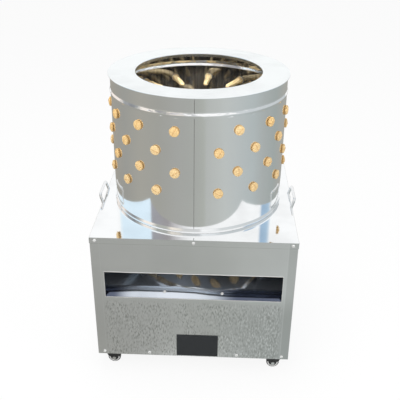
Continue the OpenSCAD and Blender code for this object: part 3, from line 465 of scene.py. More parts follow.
@dataclass(frozen=True)
class PanelSteel(Finish):
    """Dull panel sheet, whose lower part has the mottled skin of a film that has lifted."""

    colour: Triple = (0.875, 0.885, 0.885)
    # The dark grey of the film's mottle, also the colour of the painted shade.
    mottle_and_shade: Triple = (0.5, 0.515, 0.5)
    speck: Triple = (0.95, 0.96, 0.96)
    back: Triple = (0.22, 0.235, 0.25)
    skin_x: float = 0.2829
    skin_front: float = -0.2852
    skin_rear: float = 0.2838
    film_side: Span = (0.242, 0.262)
    film_top: Span = (0.238, 0.26)
    tone_top: Span = (0.198, 0.3)
    tone_across: Span = (-0.06, 0.24)
    right_shade: float = 0.52
    low_shade: float = 0.1
    elsewhere: float = 0.4
    grain: Grain = Grain(stretch=(270.0, 270.0, 95.0))
    blotches: Grain = Grain(stretch=(24.0, 24.0, 11.0))
    clouds: Grain = Grain(5.0, 3.0)
    lines: Grain = Grain(stretch=(700.0, 700.0, 18.0))
    blotch_span: Span = (0.15, 0.6)
    cover_span: Span = (0.48, 0.68)
    stroke_span: Span = (0.5, 0.7)
    stroke_share: float = 0.85
    cloud_span: Span = (0.3, 0.7)
    clouded: float = 0.93
    lip: float = 0.4405
    lip_soft: Span = (0.0003, 0.001)
    lip_dark: float = 0.45
    crease: float = 0.2585
    crease_soft: Span = (0.0004, 0.0014)
    crease_highlight: float = 0.35
    strip: Span = (0.2585, 0.2625)
    strip_shade: float = 0.3
    strip_fade: float = 0.2
    cloud_lift: float = 0.35
    cover_lift: float = 0.2
    line_lift: float = 0.03
    lip_drop: float = 0.2
    relief: Span = (0.25, 0.003)
    roughness: float = 0.34
    cover_rough: float = 0.2
    line_rough: float = 0.06
    back_rough: float = 0.15
    back_dull: float = 0.5

    def paint(self, shade: Shade) -> None:
        """Feeds the shader.

        Args:
            shade: The material's tree.
        """
        across, depth, height = shade.axes()
        wide, front = abs(across), depth < self.skin_front
        hidden = (wide < self.skin_x) * (depth > self.skin_front) * (depth < self.skin_rear)
        reach = self.elsewhere + front * (1.0 - self.elsewhere)
        low = height.fade(*self.tone_top) * reach
        margin = front * wide.ease(*self.film_side)
        film = height.fade(*self.film_top) * reach * (1.0 - margin)
        grain, cloud = shade.noise(self.grain), shade.noise(self.clouds)
        blotched = film * shade.noise(self.blotches).ease(*self.blotch_span)
        cover = blotched * grain.ease(*self.cover_span)
        strokes = blotched * (1.0 - grain).ease(*self.stroke_span)
        clouded = dimmed(self.colour, self.clouded)
        plain = shade.mix(cloud.ease(*self.cloud_span), self.colour, clouded)
        lip = abs(height - self.lip).fade(*self.lip_soft) * front
        # Painted shade: the panel darker towards the bottom and to the right, and the right strip
        # past the crease darker still, mixed towards the film's dark grey.
        strip = across.ease(*self.strip) * front * (self.strip_shade - low * self.strip_fade)
        tone = (across.ease(*self.tone_across) * self.right_shade + self.low_shade) * low
        plain = shade.mix(lip * self.lip_dark + strip + tone, plain, self.mottle_and_shade)
        # Painted highlight: a pale line along each crease of the front.
        crease = abs(wide - self.crease).fade(*self.crease_soft) * front
        plain = shade.mix(crease * self.crease_highlight, plain, self.speck)
        marked = shade.mix(cover, plain, self.mottle_and_shade)
        marked = shade.mix(strokes * self.stroke_share, marked, self.speck)
        lines = shade.noise(self.lines)
        lift = cloud * self.cloud_lift + cover * self.cover_lift + lines * self.line_lift
        shade.relief(lift - lip * self.lip_drop, *self.relief)
        rough = self.roughness + cover * self.cover_rough + lines * self.line_rough
        rough = rough + hidden * self.back_rough
        shade.coat(shade.mix(hidden, marked, self.back), rough, 1.0 - hidden * self.back_dull)


@dataclass(frozen=True)
class TraySteel(Finish):
    """Thin polished tray sheet with a painted bluish reflection and painted shade towards its
    sides, buckled so that what it mirrors bends.
    """

    # The bluish colours are a painted reflection; the dark colour is painted shade.
    colour: Triple = (0.74, 0.79, 0.86)
    dull: Triple = (0.6, 0.65, 0.72)
    dark: Triple = (0.06, 0.075, 0.13)
    front: float = -0.27
    roll: float = -0.262
    roll_soft: float = 0.006
    roll_span: Span = (-0.262, -0.252)
    roll_clear: float = 0.9
    buckle: float = 0.16
    buckle_right: Span = (-0.06, 0.11)
    buckle_left: Span = (0.15, 0.25)
    left_share: float = 0.6
    ripples: Grain = Grain(1.0, 1.0, (9.0, 16.0, 9.0))
    ripple: float = 0.0006
    shade_right: Span = (0.03, 0.13)
    shade_left: Span = (0.17, 0.23)
    shade_share: float = 0.92
    clouds: Grain = Grain(8.0, 3.0)
    cloud_span: Span = (0.3, 0.7)
    roughness: float = 0.07
    cloud_rough: float = 0.05
    roll_rough: float = 0.18
    metal: float = 0.9

    def paint(self, shade: Shade) -> None:
        """Feeds the shader.

        Args:
            shade: The material's tree.
        """
        right, depth, _ = shade.axes()
        left, cloud = 0.0 - right, shade.noise(self.clouds)
        lift = right.ease(*self.buckle_right) + left.ease(*self.buckle_left) * self.left_share
        bulge = (self.front - depth) * lift * self.buckle
        shade.relief(bulge + shade.noise(self.ripples) * self.ripple, 1.0, 1.0)
        # Painted shade: the tray darker towards its left and right, less so on its rolled edge.
        ends = right.ease(*self.shade_right) + left.ease(*self.shade_left)
        ends = ends * (1.0 - depth.ease(*self.roll_span) * self.roll_clear)
        # The bluish tint is a painted reflection.
        reflection_tint = shade.mix(cloud.ease(*self.cloud_span), self.colour, self.dull)
        bend = abs(depth - self.roll).fade(0.0, self.roll_soft)
        rough = self.roughness + cloud * self.cloud_rough + bend * self.roll_rough
        shade.coat(shade.mix(ends * self.shade_share, reflection_tint, self.dark), rough, self.metal)


@dataclass(frozen=True)
class FingerRubber(Finish):
    """Tan moulded rubber, each finger a little different, with painted shade under its head and on
    its ridge, and a painted highlight on its collar.
    """

    colour: Triple = (0.88, 0.59, 0.25)
    pale: Triple = (0.93, 0.68, 0.35)
    deep: Triple = (0.55, 0.29, 0.09)
    rod: Triple = (0.86, 0.68, 0.38)
    collar: Triple = (0.93, 0.9, 0.84)
    specks: Grain = Grain(420.0, 3.0)
    clouds: Grain = Grain(60.0)
    cloud_span: Span = (0.5, 0.9)
    cloud_dark: float = 0.2
    rim_shade: float = 0.75
    relief: Span = (0.035, 0.0008)
    roughness: float = 0.5
    speck_rough: float = 0.15
    gloss: float = 0.35

    def paint(self, shade: Shade) -> None:
        """Feeds the shader.

        Args:
            shade: The material's tree.
        """
        tone, rim, collar_highlight, rod = (shade.mark(name) for name in ("tone", "rim", "collar_highlight", "rod"))
        speck, cloud = shade.noise(self.specks), shade.noise(self.clouds)
        body = shade.mix(rod, shade.mix(tone, self.colour, self.pale), self.rod)
        # The rim mark paints shade towards the head's underside, down the neck and on the ridge;
        # the cloud is random tone.
        dark = rim * self.rim_shade + cloud.ease(*self.cloud_span) * self.cloud_dark
        shade.relief(speck, *self.relief)
        # The collar colour on the collar's land is a painted highlight.
        tint = shade.mix(collar_highlight, shade.mix(dark, body, self.deep), self.collar)
        rough = self.roughness + speck * self.speck_rough
        shade.coat(tint, rough, Specular_IOR_Level=self.gloss)


@dataclass(frozen=True)
class Enamel(Finish):
    """Sprayed paint with a slight orange peel, dust and thin rubbed spots."""

    colour: Triple
    roughness: float = 0.4
    dust: Triple = (0.42, 0.41, 0.39)
    dust_share: float = 0.12
    dust_rough: float = 0.15
    peel: Grain = Grain(500.0, 1.0)
    relief: Span = (0.15, 0.0006)
    clouds: Grain = Grain(14.0, 4.0)
    cloud_span: Span = (0.45, 0.8)

    def paint(self, shade: Shade) -> None:
        """Feeds the shader.

        Args:
            shade: The material's tree.
        """
        cloud = shade.noise(self.clouds).ease(*self.cloud_span)
        shade.relief(shade.noise(self.peel), *self.relief)
        tint = shade.mix(cloud * self.dust_share, self.colour, self.dust)
        shade.coat(tint, self.roughness + cloud * self.dust_rough)


@dataclass(frozen=True)
class Moulding(Finish):
    """Moulded plastic or rubber with a fine stipple."""

    colour: Triple
    roughness: float = 0.5
    stipple: float = 0.2
    dots: Grain = Grain(900.0)
    wear: float = 0.03
    rubbed: float = 0.9
    depth: float = 0.0004
    dot_rough: float = 0.12
    clouds: Grain = Grain(25.0, 3.0)
    cloud_span: Span = (0.45, 0.75)

    def paint(self, shade: Shade) -> None:
        """Feeds the shader.

        Args:
            shade: The material's tree.
        """
        dots, cloud = shade.noise(self.dots), shade.noise(self.clouds)
        shade.relief(dots, self.stipple, self.depth)
        rubbed = dimmed(self.colour, self.rubbed, self.wear)
        tint = shade.mix(cloud.ease(*self.cloud_span), self.colour, rubbed)
        shade.coat(tint, self.roughness + dots * self.dot_rough)


@dataclass(frozen=True)
class Casting(Finish):
    """Rough painted casting."""

    colour: Triple = (0.2, 0.205, 0.21)
    rust: Triple = (0.26, 0.16, 0.1)
    rust_share: float = 0.25
    sand: Grain = Grain(350.0, 4.0)
    relief: Span = (0.5, 0.0012)
    clouds: Grain = Grain(20.0, 3.0)
    cloud_span: Span = (0.55, 0.85)
    roughness: float = 0.55
    sand_rough: float = 0.2
    metal: float = 0.35

    def paint(self, shade: Shade) -> None:
        """Feeds the shader.

        Args:
            shade: The material's tree.
        """
        sand, cloud = shade.noise(self.sand), shade.noise(self.clouds)
        shade.relief(sand, *self.relief)
        share = cloud.ease(*self.cloud_span) * self.rust_share
        tint = shade.mix(share, self.colour, self.rust)
        shade.coat(tint, self.roughness + sand * self.sand_rough, self.metal)


@dataclass(frozen=True)
class Turned(Finish):
    """Metal turned on a lathe, with fine rings about the drum axis."""

    colour: Triple
    roughness: float = 0.28
    rings: float = 900.0
    lift: float = 0.3
    relief: Span = (0.15, 0.001)
    dulled: float = 0.75
    dull_share: float = 0.5
    clouds: Grain = Grain(12.0, 3.0)
    cloud_span: Span = (0.4, 0.8)
    cloud_rough: float = 0.12

    def paint(self, shade: Shade) -> None:
        """Feeds the shader.

        Args:
            shade: The material's tree.
        """
        _, radius = shade.turn()
        groove = (radius * self.rings * math.tau).math("SINE") * 0.5 + 0.5
        cloud = shade.noise(self.clouds)
        shade.relief(groove * self.lift + cloud * self.lift, *self.relief)
        share = cloud.ease(*self.cloud_span) * self.dull_share
        tint = shade.mix(share, self.colour, dimmed(self.colour, self.dulled))
        shade.coat(tint, self.roughness + cloud * self.cloud_rough, 1.0)


@dataclass(frozen=True)
class CasterWheel(Finish):
    """Black moulded wheel with a pale ring on each face."""

    centre: Triple
    axis: Triple
    black: Triple = (0.025, 0.025, 0.025)
    pale: Triple = (0.72, 0.72, 0.71)
    worn: Triple = (0.09, 0.088, 0.085)
    ring_in: Span = (0.0115, 0.0119)
    ring_out: Span = (0.0155, 0.0159)
    scuffs: Grain = Grain(300.0, 3.0)
    scuff_span: Span = (0.5, 0.8)
    scuff_share: float = 0.3
    relief: Span = (0.25, 0.0005)
    roughness: float = 0.55
    scuff_rough: float = 0.15

    def paint(self, shade: Shade) -> None:
        """Feeds the shader.

        Args:
            shade: The material's tree.
        """
        _, radius = shade.turn(self.centre, self.axis)
        ring = radius.ease(*self.ring_in) * radius.fade(*self.ring_out)
        scuff = shade.noise(self.scuffs)
        shade.relief(scuff, *self.relief)
        share = scuff.ease(*self.scuff_span) * self.scuff_share
        tint = shade.mix(ring, shade.mix(share, self.black, self.worn), self.pale)
        shade.coat(tint, self.roughness + scuff * self.scuff_rough)


@dataclass(frozen=True)
class CasterFork(Finish):
    """Black pressed fork with plated axle heads."""

    centre: Triple
    axis: Triple
    cheek: float = 0.0112
    nut_radius: float = 0.0062
    black: Triple = (0.022, 0.022, 0.023)
    plated: Triple = (0.75, 0.75, 0.74)
    dust: Triple = (0.3, 0.29, 0.27)
    dusts: Grain = Grain(90.0, 3.0)
    dust_span: Span = (0.5, 0.85)
    dust_share: float = 0.12
    peel: Grain = Grain(400.0)
    relief: Span = (0.12, 0.0005)
    roughness: float = 0.38
    peel_rough: float = 0.1

    def paint(self, shade: Shade) -> None:
        """Feeds the shader.

        Args:
            shade: The material's tree.
        """
        along, radius = shade.turn(self.centre, self.axis)
        nut = (abs(along) > self.cheek) * (radius < self.nut_radius)
        peel = shade.noise(self.peel)
        share = shade.noise(self.dusts).ease(*self.dust_span) * self.dust_share
        shade.relief(peel, *self.relief)
        tint = shade.mix(nut, shade.mix(share, self.black, self.dust), self.plated)
        shade.coat(tint, self.roughness + peel * self.peel_rough, nut)


@dataclass(frozen=True)
class PaleFloor(Finish):
    """Pale floor that looks white and keeps a soft shadow."""

    low: Triple = (0.9, 0.9, 0.9)
    high: Triple = (0.93, 0.93, 0.93)
    clouds: Grain = Grain(0.8)
    roughness: float = 0.9
    gloss: float = 0.1
    white: float = 0.9

    def paint(self, shade: Shade) -> None:
        """Feeds the shader.

        Args:
            shade: The material's tree.
        """
        tint = shade.mix(shade.noise(self.clouds), self.low, self.high)
        shade.coat(tint, self.roughness, Specular_IOR_Level=self.gloss)
        white = shade.value("ShaderNodeEmission", {"Color": opaque(WHITE), "Strength": 1.0})
        pair = {1: shade.shader.outputs[0], 2: white}
        both = shade.value("ShaderNodeMixShader", {0: shade.seen() * self.white, **pair})
        shade.feed(shade.tree.nodes["Material Output"].inputs[0], both)


class CardLight(Finish):
    """Glow of a card in the colours that its mesh holds."""

    def paint(self, shade: Shade) -> None:
        """Feeds the shader from the mesh's colours alone."""
        glow = shade.value("ShaderNodeAttribute", None, "Color", attribute_name="tint")
        shade.coat(BLACK, 1.0, Emission_Color=glow, Emission_Strength=1.0, Specular_IOR_Level=0.0)


FINISHES: dict[Surface, Finish] = {
    Surface.POLISHED: SheetSteel((0.88, 0.89, 0.9), 0.08),
    # The faint blue of the mirror and ring steel is a painted reflection of the sky.
    Surface.MIRROR: SheetSteel((0.965, 0.98, 0.99), 0.03, 0.03, 0.08),
    Surface.RING: SheetSteel((0.93, 0.965, 0.97), 0.22, 0.06, 0.03),
    Surface.PANEL: PanelSteel(),
    Surface.FINGER: FingerRubber(),
    Surface.FRAME: Enamel((0.24, 0.245, 0.25), 0.5),
    Surface.CAST: Casting(),
    Surface.GROUND: Turned((0.7, 0.7, 0.71), 0.2, 1500.0),
    Surface.RUBBER: Moulding((0.025, 0.025, 0.025), 0.6),
    Surface.MOTOR: Enamel((0.13, 0.19, 0.27), 0.35),
    Surface.BLACK_PLASTIC: Moulding((0.03, 0.03, 0.031), 0.45),
    Surface.GREY_PLASTIC: Moulding((0.4, 0.41, 0.42), 0.45),
    Surface.GREEN_PLASTIC: Moulding((0.04, 0.36, 0.1), 0.25, 0.05),
    Surface.RED_PLASTIC: Moulding((0.58, 0.035, 0.03), 0.25, 0.05),
    Surface.SCREW: SheetSteel((0.96, 0.96, 0.95), 0.3, wave=0.0, metal=0.4),
    Surface.PLATE: Moulding((0.018, 0.021, 0.024), 0.8, 0.02, Grain(1500.0), 0.003),
    Surface.BLACK_STEEL: Enamel((0.025, 0.025, 0.026), 0.4),
    Surface.TURNED: Turned((0.72, 0.73, 0.74), 0.25, 700.0),
    Surface.WHEEL: Moulding((0.025, 0.025, 0.025), 0.6),
}


class Wardrobe:
    """The materials of the machine, each made once."""

    def __init__(self, frame: dict[str, Any]) -> None:
        """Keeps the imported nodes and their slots.
        """
        self.nodes: dict[str, Piece] = frame["nodes"]
        parts = frame["record"]["subparts"]
        self.slots = {part["node"]: Surface(part["material_slot"]) for part in parts}
        self.made: dict[Surface, Material] = {}

    def get(self, surface: Surface) -> Material:
        """Gives the material of a surface.

        Args:
            surface: The surface.

        Returns:
            The material, which is made at the first call.
        """
        if surface not in self.made:
            self.made[surface] = FINISHES[surface].make(surface.value)
        return self.made[surface]

    def dress(self, node: str, material: Material) -> None:
        """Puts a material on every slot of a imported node."""
        for slot in self.nodes[node].material_slots:
            slot.material = material

    def dress_all(self) -> None:
        """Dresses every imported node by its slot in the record."""
        for node, surface in self.slots.items():
            self.dress(node, self.get(surface))
            LOG.info("dressed %s as %s", node, surface.value)


def new_piece(name: str, data: bpy.types.ID) -> Piece:
    """Links a mesh, a lamp or a camera to the scene as an object at the origin.

    Args:
        name: The object's name.
        data: What it shows.

    Returns:
        The object.
    """
    piece = bpy.data.objects.new(name, data)
    bpy.context.scene.collection.objects.link(piece)
    return piece


def settle(piece: Piece, body: str, surface: Surface, *nodes: str) -> None:
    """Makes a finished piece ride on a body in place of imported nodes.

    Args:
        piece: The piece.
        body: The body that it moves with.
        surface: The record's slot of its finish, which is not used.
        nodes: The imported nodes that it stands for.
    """
    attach(piece, body)
    if nodes:
        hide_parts(*nodes)
    LOG.info("%s rides on %s, %d faces", piece.name, body, len(piece.data.polygons))


def turn_outline(
    shape: Shape, outline: Outline, steps: int, closed: bool = False
) -> list[list[bmesh.types.BMVert]]:
    """Turns an outline round the Z axis.

    Args:
        shape: The mesh that the faces go to.
        outline: Pairs of radius and height.
        steps: Steps round the axis.
        closed: True if the outline's last pair joins its first.

    Returns:
        The rings of points, one for each pair.
    """
    rings = []
    for radius, height in outline:
        turns = [math.tau * i / steps for i in range(steps if radius > 0.0 else 1)]
        rings.append([shape.verts.new(on_circle(radius, turn, height)) for turn in turns])
    for low, high in zip(rings, rings[1:] + (rings[:1] if closed else [])):
        for i in range(steps):
            walk = ((low, i), (low, i + 1), (high, i + 1), (high, i))
            corners = [ring[k % len(ring)] for ring, k in walk]
            shape.faces.new(list(dict.fromkeys(corners)))
    return rings


def piece_of(
    name: str, shape: Shape, limit: float = 0.0, material: Material | None = None
) -> Piece:
    """Writes a worked mesh out as a piece at the origin.

    Args:
        name: The piece's name.
        shape: The worked mesh, which is freed.
        limit: The turn in degrees below which edges are smooth, or 0 if all faces are flat.
        material: Its material.

    Returns:
        The piece.
    """
    if limit:
        bmesh.ops.recalc_face_normals(shape, faces=shape.faces)
        for face in shape.faces:
            face.smooth = True
        for edge in shape.edges:
            edge.smooth = edge.calc_face_angle(0.0) < math.radians(limit)
    mesh = bpy.data.meshes.new(name)
    shape.to_mesh(mesh)
    shape.free()
    if material:
        mesh.materials.append(material)
    return new_piece(name, mesh)


class Maker(Tree):
    """A geometry tree with named inputs, which is run once and leaves a plain mesh."""

    def __init__(self, name: str) -> None:
        """Makes an empty tree.

        Args:
            name: The tree's name.
        """
        super().__init__(bpy.data.node_groups.new(name, "GeometryNodeTree"))
        self.inlet = self.add("NodeGroupInput")
        self.inputs: dict[str, Any] = {}

    def size(self, name: str, value: Any, kind: str = "Float") -> Value:
        """Adds a named input.

        Args:
            name: The input's name.
            value: What the modifier sets it to.
            kind: Its socket type, without the common front part.

        Returns:
            The input's socket, wrapped.
        """
        face = self.tree.interface
        item = face.new_socket(name, in_out="INPUT", socket_type="NodeSocket" + kind)
        self.inputs[item.identifier] = value
        return Value(self, self.inlet.outputs[name])

    def chance(self, low: float, high: float, seed: Feed) -> Value:
        """Gives a random number between two limits to each point."""
        sockets = {2: low, 3: high, 8: seed}
        return self.value("FunctionNodeRandomValue", sockets, 1, data_type="FLOAT")

    def aim(self, facing: Feed) -> Value:
        """Gives the rotation that turns Z to a direction."""
        return self.value("FunctionNodeAlignRotationToVector", {"Vector": facing}, axis="Z")

    def spread(self, points: Feed, shape: Feed, facing: Feed, seed: Feed) -> Value:
        """Puts a shape on each point, its Z along a direction and its turn about it random.

        Args:
            points: The points.
            shape: The shape's geometry.
            facing: The direction of its Z.
            seed: The seed of its turn.

        Returns:
            The instances.
        """
        turn = {"Axis": UP, "Angle": self.chance(0.0, math.tau, seed)}
        spin = self.value("FunctionNodeAxisAngleToRotation", turn)
        pair = {"Rotation": self.aim(facing), "Rotate By": spin}
        turned = self.value("FunctionNodeRotateRotation", pair, rotation_space="LOCAL")
        sockets = {"Points": points, "Instance": shape, "Rotation": turned}
        return self.value("GeometryNodeInstanceOnPoints", sockets)

    def shape_of(self, pattern: Piece) -> Value:
        """Adds an input for the object whose shape is repeated, and gives its geometry."""
        source = {"Object": self.size("Pattern", pattern, "Object")}
        return self.value("GeometryNodeObjectInfo", source, "Geometry")

    def run(
        self, name: str, geometry: Feed, material: Material, points: bpy.types.Mesh | None = None
    ) -> Piece:
        """Closes the tree, runs it on a carrier and keeps its result as a plain mesh.

        Args:
            name: The piece's name.
            geometry: The geometry that the tree has made.
            material: Its material.
            points: The carrier's mesh, where the tree reads one.

        Returns:
            The piece.
        """
        whole = self.value("GeometryNodeRealizeInstances", {0: geometry})
        finish = {"Geometry": whole, "Material": self.size("Finish", material, "Material")}
        painted = self.value("GeometryNodeSetMaterial", finish)
        face = self.tree.interface
        face.new_socket("Geometry", in_out="OUTPUT", socket_type="NodeSocketGeometry")
        self.add("NodeGroupOutput", {0: painted})
        base = name + "_carrier"
        carrier = new_piece(base, points or bpy.data.meshes.new(base))
        modifier = carrier.modifiers.new(name, "NODES")
        modifier.node_group = self.tree
        for identifier, value in self.inputs.items():
            if value is not None:
                modifier[identifier] = value
        graph = bpy.context.evaluated_depsgraph_get()
        mesh = bpy.data.meshes.new_from_object(
            carrier.evaluated_get(graph), preserve_all_data_layers=True, depsgraph=graph
        )
        mesh.name = name
        bpy.data.objects.remove(carrier)
        return new_piece(name, mesh)


@dataclass
class Drum:
    """The drum sheet, the splash ring on it and the weld up its front.

    The bead profile holds shares of a bead's half width and height, from its foot to its crest.
    """

    wardrobe: Wardrobe
    radius: float = 0.25
    wall: float = 0.0015
    foot: float = 0.459
    height: float = 0.386
    skirt: float = 0.06
    bead_profile: tuple[Span, ...] = (
        (1.1, 0.0), (1.0, 0.0), (0.94, 0.03), (0.87, 0.11), (0.82, 0.16),
        (0.26, 0.72), (0.2, 0.78), (0.1, 0.85), (0.0, 0.88),
    )
    bead_half: float = 0.007
    bead_out: float = 0.0027
    groove_half: float = 0.0085
    groove_in: float = 0.003
    bead_drop: float = 0.046
    ring_over: float = 0.006
    ring_sheet: float = 0.0025
    ring_soft: float = 0.3
    mouth: float = 0.179
    mouth_lip: float = 0.01
    mouth_round: float = 0.6
    spigot: float = 0.016
    spigot_gap: float = 0.0003
    seam_turn: float = -0.2
    weld_metal: Finish = SheetSteel((0.22, 0.21, 0.2), 0.4)
    weld_half: float = 0.0007
    weld_step: float = 0.002
    weld_gap: float = 0.001
    weld_long: Span = (0.85, 1.1)
    weld_wide: float = 1.7
    weld_flat: float = 0.35
    weld_seed: int = 5
    weld_cuts: int = 2
    steps: int = 224
    shell_limit: float = 25.0
    ring_limit: float = 50.0

    def bead(self, height: float, radius: float, half: float, stand: float) -> Outline:
        """Gives the outline of a rolled bead, two flat slopes that meet in a round crest, upwards.

        Args:
            height: The bead's height.
            radius: The wall's radius on that face.
            half: Half the bead's width.
            stand: How far the bead stands out.

        Returns:
            Pairs of radius and height.
        """
        low = [(radius + stand * out, height - half * up) for up, out in self.bead_profile]
        return low + [(r, 2 * height - z) for r, z in reversed(low[:-1])]

    def build_shell(self) -> None:
        """Makes the drum sheet with its two beads."""
        inner = self.radius - self.wall
        low, high = self.foot - self.skirt, self.foot + self.height
        beads = [self.foot + self.bead_half, high - self.bead_drop]
        outline = [(inner, low), (self.radius, low)]
        for height in beads:
            outline += self.bead(height, self.radius, self.bead_half, self.bead_out)
        outline += [(self.radius, high), (inner, high)]
        for height in reversed(beads):
            outline += self.bead(height, inner, self.groove_half, self.groove_in)[::-1]
        shape = bmesh.new()
        turn_outline(shape, outline, self.steps, True)
        name = "drum_sheet"
        piece = piece_of(name, shape, self.shell_limit, DrumSteel().make(name))
        settle(piece, "base", Surface.POLISHED, "drum_shell")

    def build_ring(self) -> None:
        """Makes the splash ring with its mouth lip and its spigot."""
        under = self.foot + self.height
        top, soft = under + self.ring_sheet, self.ring_sheet * self.ring_soft
        outer, mouth = self.radius + self.ring_over, self.mouth
        seat = self.radius - self.wall - self.spigot_gap
        curve = soft * self.mouth_round
        outline = [
            (mouth, top - self.mouth_lip),
            (mouth + self.ring_sheet, top - self.mouth_lip),
            (mouth + self.ring_sheet, under),
            (seat - self.wall, under),
            (seat - self.wall, under - self.spigot),
            (seat, under - self.spigot),
            (seat, under),
            (outer - soft, under),
            (outer, under + soft),
            (outer, top - soft),
            (outer - soft, top),
            (outer - 2 * soft, top),
            (mouth + 3 * soft, top),
            (mouth + 2 * soft, top),
            (mouth + curve, top - curve),
            (mouth, top - 2 * soft),
            (mouth, top - 3 * soft),
        ]
        shape = bmesh.new()
        turn_outline(shape, outline, self.steps, True)
        piece = piece_of("mouth_ring", shape, self.ring_limit, self.wardrobe.get(Surface.RING))
        settle(piece, "base", Surface.RING, "splash_ring")

    def build_weld(self) -> None:
        """Makes the weld up the drum's front, a row of flat overlapping ripples."""
        turn = math.radians(self.seam_turn - QUARTER)
        low = self.foot + 2 * self.bead_half + self.weld_gap
        high = self.foot + self.height - self.weld_gap
        start, end = (on_circle(self.radius, turn, height) for height in (low, high))
        maker = Maker("weld_row")
        step = maker.size("Step", self.weld_step)
        half = maker.size("Half width", self.weld_half)
        seed = maker.size("Seed", self.weld_seed, "Int")
        line = maker.value("GeometryNodeCurvePrimitiveLine", {"Start": start, "End": end})
        path = {"Curve": line, "Length": step}
        points = maker.value("GeometryNodeCurveToPoints", path, mode="LENGTH")
        ball = {"Radius": half, "Subdivisions": self.weld_cuts}
        ripple = maker.value("GeometryNodeMeshIcoSphere", ball)
        sockets = {
            "Points": points,
            "Instance": ripple,
            "Rotation": maker.aim(on_circle(1.0, turn, 0.0)),
            "Scale": maker.xyz(maker.chance(*self.weld_long, seed), self.weld_wide, self.weld_flat),
        }
        row = maker.value("GeometryNodeInstanceOnPoints", sockets)
        piece = maker.run("seam_weld", row, self.weld_metal.make("weld_metal"))
        settle(piece, "base", Surface.POLISHED)

    def build(self) -> None:
        """Makes the drum's pieces."""
        self.build_shell()
        self.build_ring()
        self.build_weld()


